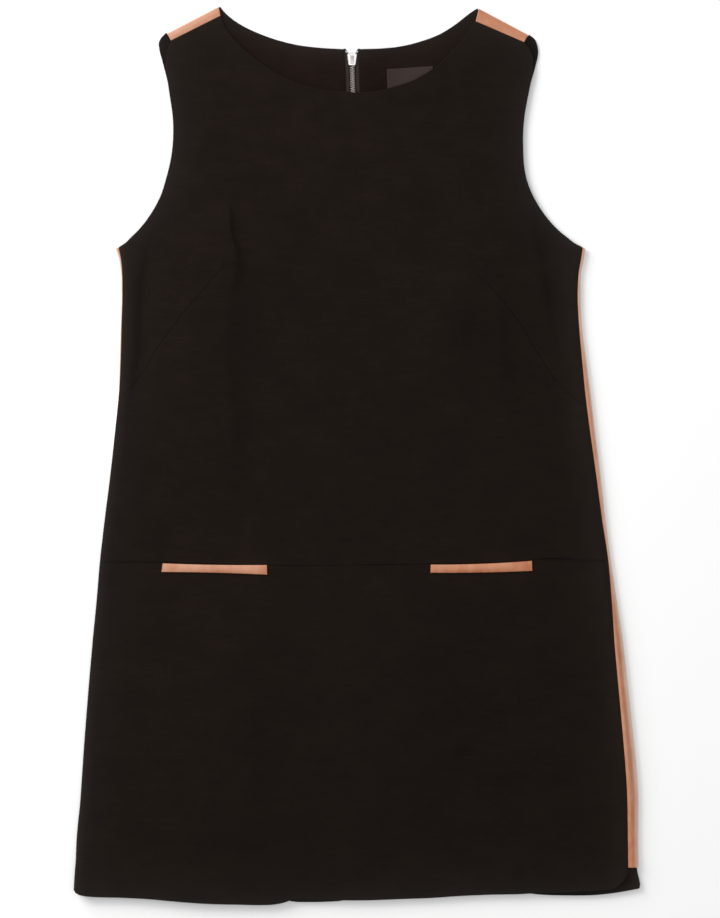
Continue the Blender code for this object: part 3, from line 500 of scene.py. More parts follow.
EDGE_STEPS = (0, 0.07, 0.22, 0.42, 0.66, 0.95, 1.4)
FINE_ROLL = 0.7  # column spacing in the side fold
ROLL_END = 15.0


def steps(length, spacing, crowd_first=True, crowd_last=True, roll=0.0):
    """Shares from 0 to 1 along a length, crowded at the ends, and fine over a first roll."""
    first = list(EDGE_STEPS) if crowd_first else [0.0]
    last = list(EDGE_STEPS) if crowd_last else [0.0]
    while roll and first[-1] < roll:
        first.append(first[-1] + FINE_ROLL)
    span = length - first[-1] - last[-1]
    middle = np.linspace(0, 1, max(2, round(span / spacing) + 1))[1:-1] * span + first[-1]
    at = [*first, *middle, *[length - d for d in reversed(last)]]
    return np.array(at) / length


def coons(low, high, first, last, across, up):
    """A grid between four edges. low and high run across, first and last run up."""
    u, v = across[None, :, None], up[:, None, None]
    sides = (1 - v) * low[None] + v * high[None] + (1 - u) * first[:, None] + u * last[:, None]
    corners = (1 - u) * (1 - v) * low[0] + u * (1 - v) * low[-1]
    corners = corners + (1 - u) * v * high[0] + u * v * high[-1]
    return sides - corners


def between(start, end, shares):
    start, end = np.array(start, float), np.array(end, float)
    return start * (1 - shares[:, None]) + end * shares[:, None]


def ruled(first, last, shares):
    """A grid between two lines of as many points, at shares of the way across."""
    return first[:, None] * (1 - shares)[None, :, None] + last[:, None] * shares[None, :, None]


def along_path(points, shares):
    """Points at shares of a path's length, with its corners kept."""
    points = np.array(points, float)
    run = lengths(points)
    at = np.asarray(shares) * run[-1]
    return np.stack([np.interp(at, run, points[:, k]) for k in (0, 1)], axis=-1)


def side_line(side, offset, heights):
    """Flat points down a side seam."""
    fold = FOLDS[side]
    heights = np.asarray(heights, float)
    return np.stack([fold.x_at(heights, fold.seam(heights) + offset), heights], axis=-1)


def underarm_corner(side, offset=SEAM_ARC):
    fold = FOLDS[side]
    x = fold.x_at(UNDERARM, fold.seam(UNDERARM) + offset)
    return np.array([x, UNDERARM + underarm_rise(x - fold.underarm_x)])


# Meshes


def grid_normals(points):
    across = np.gradient(points, axis=1)
    up = np.gradient(points, axis=0)
    normal = np.cross(across, up)
    return normal / np.maximum(np.linalg.norm(normal, axis=-1, keepdims=True), 1e-12)


def edge_distance(points):
    """How far each grid point is from the first and last column, and first and last row."""
    along_rows = np.linalg.norm(np.diff(points, axis=1), axis=-1)
    along_columns = np.linalg.norm(np.diff(points, axis=0), axis=-1)
    first = np.pad(np.cumsum(along_rows, axis=1), ((0, 0), (1, 0)))
    low = np.pad(np.cumsum(along_columns, axis=0), ((1, 0), (0, 0)))
    return first, first[:, -1:] - first, low, low[-1:] - low


Edges = namedtuple("Edges", "first last low high")
ROUND, SEWN = 0.74, 0.30  # how much of an edge's half wall rolls away
LEAST_EDGE = 0.01
ALL_ROUND = Edges(ROUND, ROUND, ROUND, ROUND)


def half_wall(points, wall, edges):
    """Half the wall at each grid point: a rolled edge is round, a sewn one nearly square."""
    half = np.full(points.shape[:2], wall / 2)
    for away, roll in zip(edge_distance(points), edges):
        roll = min(roll, wall / 2 - LEAST_EDGE)
        share = np.clip(1 - away / roll, 0, 1)
        rolled = wall / 2 - roll + roll * np.sqrt(np.maximum(1 - share**2, 0))
        half = np.minimum(half, np.maximum(rolled, LEAST_EDGE))
    return half


def new_piece(name, vertices, faces, finish):
    mesh = bpy.data.meshes.new(name)
    mesh.from_pydata((np.asarray(vertices) * MM).tolist(), [], faces)
    mesh.shade_smooth()
    mesh.materials.append(finish)
    piece = bpy.data.objects.new(name, mesh)
    bpy.context.scene.collection.objects.link(piece)
    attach(piece, DRESS)
    return piece


def closed(points, wall, edges):
    """The vertices and faces of a closed cloth shell about a grid of points."""
    rows, columns = points.shape[:2]
    offset = grid_normals(points) * half_wall(points, wall, edges)[..., None]
    vertices = np.concatenate([(points + offset).reshape(-1, 3), (points - offset).reshape(-1, 3)])
    count = rows * columns
    index = np.arange(count).reshape(rows, columns)
    quads = np.stack([index[:-1, :-1], index[:-1, 1:], index[1:, 1:], index[1:, :-1]], axis=-1)
    quads = quads.reshape(-1, 4)
    loop = np.concatenate([index[0, :], index[1:, -1], index[-1, -2::-1], index[-2:0:-1, 0]])
    after = np.roll(loop, -1)
    rim = np.stack([loop, loop + count, after + count, after], axis=-1)
    return vertices, np.concatenate([quads, quads[:, ::-1] + count, rim])


def shell(name, grids, wall, edges, finish, replaces=()):
    """Closed cloth shells as one piece, each with its own plane as its UV map."""
    vertices, faces, places, count = [], [], [], 0
    for points, flat in grids:
        made, quads = closed(points, wall, edges)
        vertices.append(made)
        faces.append(quads + count)
        places += [flat.reshape(-1, 2)] * 2
        count += len(made)
    piece = new_piece(name, np.concatenate(vertices), np.concatenate(faces).tolist(), finish)
    uv = piece.data.uv_layers.new(name="cloth")
    place = np.concatenate(places) * MM
    corner = np.empty(len(piece.data.loops), np.int32)
    piece.data.loops.foreach_get("vertex_index", corner)
    uv.data.foreach_set("uv", place[corner].astype(np.float32).ravel())
    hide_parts(*replaces)
    return piece


# Materials


class Finish:
    """A material's node tree, built up one node at a time."""

    def __init__(self, name):
        self.material = bpy.data.materials.new(name)
        self.material.use_nodes = True
        self.tree = self.material.node_tree
        self.shader = self.tree.nodes["Principled BSDF"]

    def plug(self, socket, value):
        """Gives a socket another node's output, or a constant."""
        if isinstance(value, bpy.types.NodeSocket):
            self.tree.links.new(value, socket)
        else:
            socket.default_value = value

    def add(self, kind, inputs=None, **settings):
        node = self.tree.nodes.new(kind)
        for key, value in settings.items():
            setattr(node, key, value)
        for key, value in (inputs or {}).items():
            self.plug(node.inputs[key], value)
        return node

    def set(self, **values):
        for key, value in values.items():
            name = key.replace("_", " ").title().replace("Ior", "IOR")
            self.plug(self.shader.inputs[name], value)

    def cloth_uv(self):
        return self.add("ShaderNodeUVMap", uv_map="cloth").outputs[0]

    def cloth_axes(self):
        """The cloth's own x and y, in metres."""
        parts = self.add("ShaderNodeSeparateXYZ", {0: self.cloth_uv()}).outputs
        return parts[0], parts[1]

    def cloth_place(self, across, up):
        """The cloth's own plane, with so many units to the metre across it and up it."""
        inputs = {"Vector": self.cloth_uv(), "Scale": (across, up, 1)}
        return self.add("ShaderNodeMapping", inputs).outputs[0]

    def noise(self, place, scale, detail, roughness=0.5, distortion=0.0):
        inputs = {"Vector": place, "Scale": scale, "Detail": detail}
        inputs.update({"Roughness": roughness, "Distortion": distortion})
        return self.add("ShaderNodeTexNoise", inputs).outputs["Fac"]

    def spots(self, across, up, *character):
        """Noise with so many spots to the metre of cloth."""
        return self.noise(self.cloth_place(across, up), 1.0, *character)

    def math(self, operation, first, *others):
        """One value, or several from left to right, through an operation."""
        for inputs in [{1: value} for value in others] or [{}]:
            node = self.add("ShaderNodeMath", {0: first, **inputs}, operation=operation)
            first = node.outputs[0]
        return first

    def ramp(self, value, low, high, to_low, to_high):
        names = ("Value", "From Min", "From Max", "To Min", "To Max")
        inputs = dict(zip(names, (value, low, high, to_low, to_high)))
        return self.add("ShaderNodeMapRange", inputs).outputs["Result"]

    def swing(self, noise, low, high):
        """A noise that swings from low to high."""
        return self.ramp(noise, *NOISE_SPAN, low, high)

    def soft_area(self, row):
        """A share at the middle of a round area of the cloth, easing to nothing at its rim."""
        scale = (1 / (row.wide * MM), 1 / (row.high * MM), 0)
        shift = (-row.x / row.wide, -row.y / row.high, 0)
        inputs = {"Vector": self.cloth_uv(), "Location": shift, "Scale": scale}
        place = self.add("ShaderNodeMapping", inputs).outputs[0]
        cone = self.add("ShaderNodeTexGradient", {"Vector": place}, gradient_type="SPHERICAL")
        inputs = {"Value": cone.outputs["Fac"], "To Max": row.share}
        eased_in = self.add("ShaderNodeMapRange", inputs, interpolation_type="SMOOTHSTEP")
        return eased_in.outputs["Result"]

    def blend(self, first, second, share):
        """One colour passing into another."""
        inputs = {0: share, 6: (*first, 1), 7: (*second, 1)}
        return self.add("ShaderNodeMix", inputs, data_type="RGBA").outputs[2]

    def tint(self, colour, factor):
        """A colour times a factor that varies over the surface."""
        scaled = self.add("ShaderNodeVectorMath", {0: colour, "Scale": factor}, operation="SCALE")
        return scaled.outputs["Vector"]

    def bump(self, height, distance, strength):
        inputs = {"Height": height, "Distance": distance, "Strength": strength}
        return self.add("ShaderNodeBump", inputs).outputs["Normal"]


NOISE_SPAN = (0.3, 0.7)  # nearly all of a noise lies between these
SHEEN_REACH_SPAN = (-0.22, -0.12)  # y, in metres, between which the reach of a stripe's painted sheen changes
CREPE = (0.0088, 0.0054, 0.0039)
CREPE_INSIDE = (0.0110, 0.0064, 0.0046)
TAPE_COLOUR, TAPE_RIB_WIDE, TAPE_RIB_PITCH = (0.0115, 0.0085, 0.0070), 2.4, 1.1
TAPE_BORDER = (0.0031, 0.0039, 0, 1), (0.0060, 0.0068, 1, 0)  # metres off the middle, to a share
LABEL_COLOUR, LABEL_RIB, LABEL_WARP = (0.0300, 0.0182, 0.0157), 0.55, 0.8
# The second trim colour is the whitish colour of a painted sheen, mixed into the tan where light
# would glance off it
TAN, TAN_PAINTED_SHEEN = (0.48, 0.192, 0.097), (0.78, 0.62, 0.52)
NICKEL, RUBBED, TEETH = (0.72, 0.71, 0.69), (0.47, 0.45, 0.43), (0.31, 0.272, 0.258)
THREAD = (0.0120, 0.0080, 0.0062)
SCRATCHES, CLOUDS = (9000, 1200, 4000), 700.0  # to the metre of metal

# Painted light and shade: soft round areas of the cloth's own plane painted a little lighter or
# darker where light would fall more or less
PaintedLight = namedtuple("PaintedLight", "x y wide high share")
# Painted light on the upper bodice and the left and right edges; painted shade below the right
# bust, to the lower right, in the creases and along the waist seam
PAINTED_LIGHT_FRONT = [
    PaintedLight(-20, 330, 330, 190, 0.09),
    PaintedLight(-158, 205, 70, 80, 0.05),
    PaintedLight(-108, 126, 22, 110, -0.10),
    PaintedLight(126, 132, 64, 54, -0.13),
    PaintedLight(146, 100, 22, 80, -0.10),
    PaintedLight(84, -5, 110, 80, -0.06),
    PaintedLight(226, 36, 40, 80, 0.12),
    PaintedLight(-158, -150, 90, 70, 0.06),
    PaintedLight(128, -285, 175, 260, -0.15),
    PaintedLight(-46, -330, 120, 220, -0.09),
    PaintedLight(268, -250, 34, 300, 0.12),
    PaintedLight(-240, -390, 80, 90, 0.05),
    PaintedLight(186, 204, 8, 34, -0.14),
    PaintedLight(192, 165, 7, 36, -0.18),
    PaintedLight(-216, 104, 7, 60, -0.10),
    PaintedLight(-234, -105.8, 74, 2.6, -0.40),
    PaintedLight(202, -102.6, 40, 2.8, -0.35),
    PaintedLight(238, -104.4, 44, 2.6, -0.30),
]
# Painted highlights along the welts' top edges and at one end, and painted shade along their lower
# edges and other ends
PAINTED_LIGHT_WELTS = [
    PaintedLight(-145, -107.5, 90, 5, 0.12),
    PaintedLight(-142, -118.5, 90, 6, -0.20),
    PaintedLight(-192, -110, 5, 9, 0.10),
    PaintedLight(-92, -113, 10, 13, -0.14),
    PaintedLight(112, -107.5, 80, 5, 0.12),
    PaintedLight(124, -116.5, 90, 6, -0.20),
    PaintedLight(75, -112, 7, 12, -0.08),
    PaintedLight(171, -110, 12, 14, -0.12),
]
# Painted shade at each side stripe's lower end, and painted light above it
PAINTED_LIGHT_STRIPES = [PaintedLight(6, -405, 40, 85, -0.14), PaintedLight(6, -265, 40, 60, 0.05)]
# Painted shade inside the back's armholes, and a painted shadow on the back's hem beside the
# front's edge
PAINTED_LIGHT_BACK = [
    PaintedLight(-190, 410, 24, 40, -0.5),
    PaintedLight(177, 404, 22, 44, -0.75),
    PaintedLight(205, -436, 90, 9, -0.65),
    PaintedLight(262, -425, 17, 13, -0.5),
]


def crepe(name, colour, painted_light, shine):
    """Matt wool crepe: grainy yarns, with faint slubs that run across the cloth, and given soft
    areas of painted light and shade.
    """
    made = Finish(name)
    yarn = made.spots(650, 1500, 3.0, 0.65)
    grain = made.spots(1700, 1700, 1.0)
    slub = made.spots(60, 900, 2.0, 0.55)
    tones = [
        made.swing(slub, -0.12, 0.12),
        made.swing(yarn, -0.17, 0.17),
        made.swing(made.spots(700, 40, 1.0), -0.04, 0.04),
        made.swing(made.spots(24, 30, 4.0, 0.6), 0.87, 1.13),
        made.swing(made.spots(26, 150, 3.0, 0.6), -0.07, 0.07),
    ]
    tone = made.math("ADD", *tones, *map(made.soft_area, painted_light))
    fine = made.math("MULTIPLY", grain, 0.7)
    height = made.math("ADD", yarn, fine, made.math("MULTIPLY", slub, 0.6))
    made.set(base_color=made.tint(colour, tone), normal=made.bump(height, 0.00012, 0.8))
    made.set(roughness=0.88, specular_ior_level=shine)
    made.set(sheen_weight=0.04, sheen_roughness=0.45, sheen_tint=(0.62, 0.52, 0.46, 1))
    return made.material


def trim(name, sheen, sheen_reach=None, least=0.0, painted_light=()):
    """Smooth tan faux leather, softly streaked, with a very fine grain.

    Round a fold it is painted paler, a painted sheen where the fold turns away and would mirror the
    white room. There the UV map's x is the way from the fold.
    Elsewhere the painted sheen grows towards the left, where the key light stands, and given soft
    areas add painted light and shade.
    """
    made = Finish(name)
    inputs = {"Vector": made.cloth_place(1000, 1000), "Scale": 1.3}
    cells = made.add("ShaderNodeTexVoronoi", inputs, feature="SMOOTH_F1").outputs["Distance"]
    streak = made.spots(120, 60, 3.0, 0.6, 0.4)
    tones = [
        made.swing(streak, -0.10, 0.10),
        made.swing(made.spots(25, 25, 2.0), 0.93, 1.07),
        made.ramp(cells, 0.0, 0.8, 0.015, -0.025),
    ]
    tone = made.math("ADD", *tones, *map(made.soft_area, painted_light))
    x, y = made.cloth_axes()
    if sheen_reach:
        reach = made.ramp(y, *SHEEN_REACH_SPAN, *(far * MM for far in sheen_reach))
        off = made.math("DIVIDE", made.math("ABSOLUTE", x), reach)
        painted_sheen = made.ramp(off, 0.15, 1.0, sheen, least)
    else:
        painted_sheen = made.ramp(x, -0.15, 0.10, sheen, 0.0)
    deeper = {"Color": made.blend(TAN, TAN_PAINTED_SHEEN, painted_sheen), "Gamma": made.math("DIVIDE", 1.0, tone)}
    made.set(base_color=made.add("ShaderNodeGamma", deeper).outputs[0])
    pores = made.math("MULTIPLY", made.spots(2600, 2600, 2.0, 0.6), 0.35)
    made.set(normal=made.bump(made.math("ADD", cells, pores), 0.00005, 0.5))
    made.set(roughness=made.swing(streak, 0.42, 0.52), specular_ior_level=0.35)
    return made.material


def woven_tape():
    """Zip tape: a close herringbone of dark grey-brown yarn, paler beside the teeth."""
    made = Finish("zip_tape")
    x, y = made.cloth_axes()
    folded = made.math("PINGPONG", made.math("MULTIPLY", x, 1 / (TAPE_RIB_WIDE * MM)), 0.5)
    slant = made.math("MULTIPLY", y, 1 / (TAPE_RIB_PITCH * MM))
    slant = made.math("ADD", slant, made.math("MULTIPLY", folded, 2.0))
    rib = made.math("SINE", made.math("MULTIPLY", slant, 2 * math.pi))
    fuzz = made.spots(3000, 3000, 2.0, 0.6)
    off = made.math("ABSOLUTE", x)
    inner, outer = (made.ramp(off, *span) for span in TAPE_BORDER)
    border = made.math("MULTIPLY", inner, outer)
    tone = made.math("ADD", made.ramp(rib, -1, 1, 0.82, 1.12), made.swing(fuzz, -0.08, 0.08))
    tone = made.math("MULTIPLY", tone, made.ramp(border, 0, 1, 0.80, 2.9))
    height = made.math("ADD", rib, made.math("MULTIPLY", fuzz, 0.6))
    made.set(base_color=made.tint(TAPE_COLOUR, tone), normal=made.bump(height, 0.00010, 0.6))
    made.set(roughness=0.85, specular_ior_level=0.05)
    return made.material


def damask():
    """The label: a close satin weave of fine ribs, left bare."""
    made = Finish("label_damask")
    x, y = made.cloth_axes()
    rib = made.math("SINE", made.math("MULTIPLY", y, 2 * math.pi / (LABEL_RIB * MM)))
    warp = made.math("SINE", made.math("MULTIPLY", x, 2 * math.pi / (LABEL_WARP * MM)))
    fuzz = made.spots(2500, 2500, 2.0, 0.6)
    tone = made.math("ADD", made.ramp(rib, -1, 1, 0.92, 1.08), made.swing(fuzz, -0.07, 0.07))
    height = made.math("ADD", rib, made.math("MULTIPLY", warp, 0.3))
    made.set(base_color=made.tint(LABEL_COLOUR, tone), normal=made.bump(height, 0.00006, 0.6))
    made.set(roughness=0.6, specular_ior_level=0.22)
    return made.material


def metal(name, colour, share=1.0):
    """Polished nickel with fine rubbed scratches, or partly a dull plating."""
    made = Finish(name)
    place = made.add("ShaderNodeTexCoord").outputs["Object"]
    fine = made.add("ShaderNodeMapping", {"Vector": place, "Scale": SCRATCHES})
    rubbed = made.noise(fine.outputs[0], 1.0, 3.0, 0.6)
    cloudy = made.noise(place, CLOUDS, 2.0)
    made.set(base_color=made.tint(colour, made.swing(cloudy, 0.93, 1.04)), metallic=share)
    made.set(roughness=made.swing(rubbed, 0.2, 0.34), normal=made.bump(rubbed, 0.00001, 0.4))
    return made.material


def thread(name, colour):
    made = Finish(name)
    place = made.add("ShaderNodeTexCoord").outputs["Object"]
    twist = made.noise(place, 6000.0, 2.0, 0.6)
    made.set(base_color=made.tint(colour, made.swing(twist, 0.85, 1.15)))
    made.set(normal=made.bump(twist, 0.00004, 0.5), roughness=0.7, specular_ior_level=0.08)
    return made.material


black = crepe("black_crepe", CREPE, PAINTED_LIGHT_FRONT, 0.07)
black_inside = crepe("black_crepe_inside", CREPE_INSIDE, PAINTED_LIGHT_BACK, 0.02)
tan = trim("tan_trim", 0.10, painted_light=PAINTED_LIGHT_WELTS)
tan_stripe = trim("tan_trim_stripe", 0.9, (5.8, 3.2), 0.04, PAINTED_LIGHT_STRIPES)
# Each strip gets a painted sheen at its fold; the left one also keeps some painted sheen all over,
# a painted highlight from the key light on the left
tan_shoulder = {
    "left": trim("tan_trim_shoulder_left", 0.5, (1.9, 1.9), 0.14),
    "right": trim("tan_trim_shoulder_right", 0.6, (2.0, 2.0), 0.02),
}
tape_cloth = woven_tape()
label_cloth = damask()
nickel = metal("zip_metal", NICKEL)
rubbed_nickel = metal("zip_slider_metal", RUBBED, 0.25)
teeth_nickel = metal("zip_teeth_metal", TEETH)
black_thread = thread("black_thread", THREAD)


# Panels

NECK_SHARES = (0.13, 0.87)  # where the shoulder seams end and the neckline runs
BUST_ARCH = 43


def underarm_row(x):
    """A row of the cloth from one underarm to the other, arched over the bust."""
    start, end = (fold.underarm_x for fold in FOLDS.values())
    arch = np.sin(math.pi * np.clip((x - start) / (end - start), 0, 1))
    return UNDERARM + BUST_ARCH * arch**1.5


def top_edge(across):
    """The bodice's top edge: a shoulder seam, the neckline and the other shoulder seam."""
    left, right = SHOULDERS["left"], SHOULDERS["right"]
    start, end = NECK_SHARES
    after = np.clip((across - end) / (1 - end), 0, 1)
    on_left = between(left.seam_arm, FRONT_NECK[0], np.clip(across / start, 0, 1))
    on_right = between(FRONT_NECK[-1], right.seam_arm, after)
    neck_shares = np.clip((across - start) / (end - start), 0, 1)
    neck = along_path(smooth(FRONT_NECK), neck_shares)
    place = np.where((across < start)[:, None], on_left, neck)
    return np.where((across > end)[:, None], on_right, place)


def snapped(across, *values):
    """The shares with the nearest one moved onto each value, so that a corner keeps its point."""
    across = across.copy()
    for value in values:
        across[np.argmin(np.abs(across - value))] = value
    return across


def on_seam(side, row, start):
    """Where a row that crosses the front meets a side seam."""
    fold = FOLDS[side]
    y = start
    for _ in range(20):
        y = float(row(fold.x_at(y, fold.seam(y) + SEAM_ARC)))
    return np.array([float(fold.x_at(y, fold.seam(y) + SEAM_ARC)), y])


def both_seams(starts, ends, shares, count=60):
    """The front's two side edges, at shares of their way from one row to another."""
    edges = []
    for side, start, end in zip(FOLDS, starts, ends):
        line = side_line(side, SEAM_ARC, np.linspace(start[1], end[1], count))
        line[0], line[-1] = start, end
        edges.append(along_path(line, shares))
    return edges


def row_between(start, end, row, across):
    x = start[0] + (end[0] - start[0]) * across
    line = np.stack([x, row(x)], axis=-1)
    line[0], line[-1] = start, end
    return line


def near(length, end, offsets, spacing):
    """Shares of a band's length with extra rows close to its first (0) or last (1) edge."""
    middle = np.linspace(0, 1, round(length / spacing) + 1)
    extra = np.array(offsets) / length
    return np.unique(np.concatenate([middle, extra if end == 0 else 1 - extra]))


FINE_SHARES, FINE_COLUMN = (0.165, 0.25), 1.25  # columns over the sharp fold beside the bust
BY_DART = (0.25, 0.5, 0.8, 1.2, 1.8, 2.6, 3.6, 5.0, 7.0)
BY_UNDERARM = (0.5, 1.2, 2.2)
# Each grid's length and spacing, across and up
BODICE_ACROSS, TO_DARTS, TO_UNDERARMS, TO_NECK = (490, 3.1), (158, 3.2), (154, 3.2), (240, 3.0)
SKIRT_ACROSS, SKIRT_UP = (550, 3.2), (320, 3.0)
STRIPE_ACROSS, STRIPE_UP = (STRIPE_WIDTH, 0.75), (617, 3.0)
BACK_ACROSS, BACK_LOW, BACK_HIGH = (230, 4.0), (640, 4.0), (250, 3.0)
STRIP_ACROSS, STRIP_ALONG = (18, 0.6), (57, 1.5)
WELT_ACROSS, WELT_UP = (104, 1.6), (9.5, 0.8)
LABEL_ACROSS, LABEL_UP = (46.6, 0.9), (22.6, 0.8)
TAPE_ACROSS, TAPE_ROW = (7.3, 0.7), 2.4
WAIST_Y, DART_Y = -105.0, 53.0  # near where the waist seam and the darts meet the side seams
WAIST_OPEN, WAIST_CLOSING = 190, 30  # its seam is open this far out, and closes over this
COARSE = 40  # spacing of the rows between crowded ones that are added to a finer grid


def waist_gap(x):
    """Half the gap of the waist seam, which closes towards the sides."""
    closing = eased((np.abs(x) - WAIST_OPEN) / WAIST_CLOSING)
    return BACK_SEAM + (SEAM / 2 - BACK_SEAM) * (1 - closing)


def waist_edge(sign):
    """The edge of the cloth above (1) or below (-1) the waist seam."""
    return lambda x: drop_waist(x) + sign * waist_gap(x)


def bodice_grid():
    """Three bands of rows: up to the darts, up to the underarms, and up to the neck."""
    start, end = FINE_SHARES
    across = steps(*BODICE_ACROSS, roll=ROLL_END)
    coarse = across[(across < start) | (across > end)]
    fine = np.arange(start, end, FINE_COLUMN / BODICE_ACROSS[0])
    across = snapped(np.sort(np.concatenate([coarse, fine])), *NECK_SHARES)
    foot = [on_seam(side, waist_edge(1), WAIST_Y) for side in FOLDS]
    dart = [on_seam(side, dart_row, DART_Y) for side in FOLDS]
    arm = [underarm_corner(side) for side in FOLDS]
    low = row_between(*foot, waist_edge(1), across)
    at_dart = row_between(*dart, dart_row, across)
    at_arm = row_between(*arm, underarm_row, across)
    by_dart = near(TO_DARTS[0], 1, BY_DART, COARSE)
    up = np.unique(np.concatenate([steps(*TO_DARTS, crowd_last=False), by_dart]))
    lower = coons(low, at_dart, *both_seams(foot, dart, up), across, up)
    up = near(TO_UNDERARMS[0], 0, BY_DART, TO_UNDERARMS[1])
    middle = coons(at_dart, at_arm, *both_seams(dart, arm, up), across, up)
    by_arm = near(TO_NECK[0], 0, BY_UNDERARM, COARSE)
    up = np.unique(np.concatenate([steps(*TO_NECK, crowd_first=False), by_arm]))
    holes = []
    for side, corner in zip(FOLDS, arm):
        holes.append(along_path(smooth([corner, *ARMHOLES[f"front {side}"]]), up))
    upper = coons(at_arm, top_edge(across), *holes, across, up)
    return np.concatenate([lower, middle[1:], upper[1:]])


def front_bodice():
    flat = bodice_grid()
    points = laid(flat)
    on_top = points[..., 2] > FOLD_RADIUS + CLOTH / 2
    points[..., 2] += dart_line(flat[..., 0], flat[..., 1]) * on_top
    edges = Edges(SEWN, SEWN, SEWN, ROUND)
    grids = [(points, flat)]
    piece = shell("bodice", grids, CLOTH, edges, black, ["front_bodice"])


def front_skirt():
    across, up = steps(*SKIRT_ACROSS, roll=ROLL_END), steps(*SKIRT_UP)
    waist = [on_seam(side, waist_edge(-1), WAIST_Y) for side in FOLDS]
    vent = STRIPE_END - VENT_CORNER
    foot = [side_line(side, SEAM_ARC, [vent])[0] for side in FOLDS]
    low = along_path(smooth([foot[0], *FRONT_HEM, foot[1]], 1200), across)
    high = row_between(*waist, waist_edge(-1), across)
    flat = coons(low, high, *both_seams(foot, waist, up, 90), across, up)
    edges, grids = Edges(SEWN, SEWN, ROUND, SEWN), [(laid(flat), flat)]
    piece = shell("skirt", grids, CLOTH, edges, black, ["front_skirt"])


def side_stripe(side):
    """The tan stripe between front and back, round the side fold."""
    across = steps(*STRIPE_ACROSS)
    bottom, top = STRIPE_END + SEAM, UNDERARM
    heights = bottom + (top - bottom) * steps(*STRIPE_UP)
    first = side_line(side, -STRIPE_WIDTH + SEAM_ARC, heights)
    last = side_line(side, -SEAM_ARC, heights)
    flat = ruled(first, last, across)
    rise = underarm_rise(flat[-1, :, 0] - FOLDS[side].underarm_x)
    near_top = eased((heights - UNDERARM + STRIPE_CLIMB) / STRIPE_CLIMB)
    flat[..., 1] += near_top[:, None] * rise[None]
    if side == "right":
        flat = flat[:, ::-1]
    from_fold = SIGNS[side] * (FOLDS[side].x_at(flat[..., 1], 0) - flat[..., 0])
    own = np.stack([from_fold, flat[..., 1]], axis=-1)
    grids, node = [(laid(flat), own)], f"side_stripe_{side}"
    piece = shell(f"stripe_{side}", grids, CLOTH, ALL_ROUND, tan_stripe, [node])


def behind_shoulder(fold, seam):
    """Where the back meets a shoulder strip: just inside the fold, on the underside."""
    fold, seam = np.array(fold), np.array(seam)
    return fold + (seam - fold) / np.linalg.norm(seam - fold) * (FOLD_OUT + SEAM)


BACK_TOP_SHARES = (0.62, 0.66, 0.955)  # neck tip, shoulder seam's ends


def back_top(side, at_centre, tip, across):
    """The back's top edge: the neckline to its tip, the shoulder seam, and the armhole's tip."""
    shoulder, neck = SHOULDERS[side], BACK_NECKS[side]
    at_arm = behind_shoulder(shoulder.fold_arm, shoulder.seam_arm)
    at_neck = behind_shoulder(shoulder.fold_neck, shoulder.seam_neck)
    curve = smooth([at_centre, *neck[-2::-1]])
    corners = [neck[0], at_neck, at_arm, tip]
    top = along_path(curve, np.clip(across / BACK_TOP_SHARES[0], 0, 1))
    ends = [*BACK_TOP_SHARES, 1.0]
    for k, (start, end) in enumerate(zip(ends, ends[1:])):
        here = across >= start
        share = (across[here] - start) / (end - start)
        top[here] = between(corners[k], corners[k + 1], share)
    return top


def back_outside(side, rows, low_share):
    """The outer edge: the flap of the vent, the side seam, and above low_share the armhole."""
    offset = -STRIPE_WIDTH - SEAM_ARC
    corner = underarm_corner(side, offset)
    corner[0] = laid(corner[None])[0, 0]
    seam = side_line(side, offset, np.linspace(STRIPE_END, UNDERARM, 200)[:-1])
    seam[:, 0] = laid(seam)[:, 0]
    tab_x = seam[0, 0] - VENT_TAB_WIDE
    tab = [(tab_x - VENT_TAB_SLOPE, STRIPE_END - VENT_TAB_MIDDLE), (tab_x, STRIPE_END - SEAM)]
    tab = [BACK_HEMS[side][0], *(tab if side == "left" else VENT_TAB_RIGHT)]
    hole = smooth([corner, *ARMHOLES[f"back {side}"]])
    is_low = rows <= low_share + 1e-9
    lower = along_path(np.concatenate([tab, seam, [corner]]), rows[is_low] / low_share)
    upper = along_path(hole, (rows[~is_low] - low_share) / (1 - low_share))
    return np.concatenate([lower, upper])


def back_inside(side, rows):
    """The inner edge: the centre-back seam, and above it the zip's folded edge."""
    foot, head = BACK_HEMS[side][-1][1], BACK_NECKS[side][-1][1]
    heights = foot + (head - foot) * rows
    half = np.where(heights > ZIP_END, OPENING_HALF, BACK_SEAM)
    return np.stack([centre_back(heights) + SIGNS[side] * half, heights], axis=-1)


def back_half(side):
    """One half of the back, from the centre-back edge to the side stripe."""
    hem = BACK_HEMS[side]
    low_share = (UNDERARM - hem[0][1]) / (TAPE_TOP - hem[0][1])
    low_rows = steps(*BACK_LOW, crowd_last=False) * low_share
    high_rows = low_share + steps(*BACK_HIGH, crowd_first=False) * (1 - low_share)
    rows = np.concatenate([low_rows, high_rows[1:]])
    outside, inside = back_outside(side, rows, low_share), back_inside(side, rows)
    across = snapped(steps(*BACK_ACROSS), *BACK_TOP_SHARES)
    hem_line = along_path(smooth([inside[0], *hem[-2::-1]], 1200), across)
    top = back_top(side, inside[-1], outside[-1], across)
    flat = coons(hem_line, top, inside, outside, across, rows)
    edges = Edges(ROUND, SEWN, ROUND, ROUND)
    if side == "left":
        flat, edges = flat[:, ::-1], Edges(SEWN, ROUND, ROUND, ROUND)
    name, grids = f"back_{side}_cloth", [(flat_on_floor(flat), flat)]
    piece = shell(name, grids, CLOTH, edges, black_inside, [f"back_{side}"])


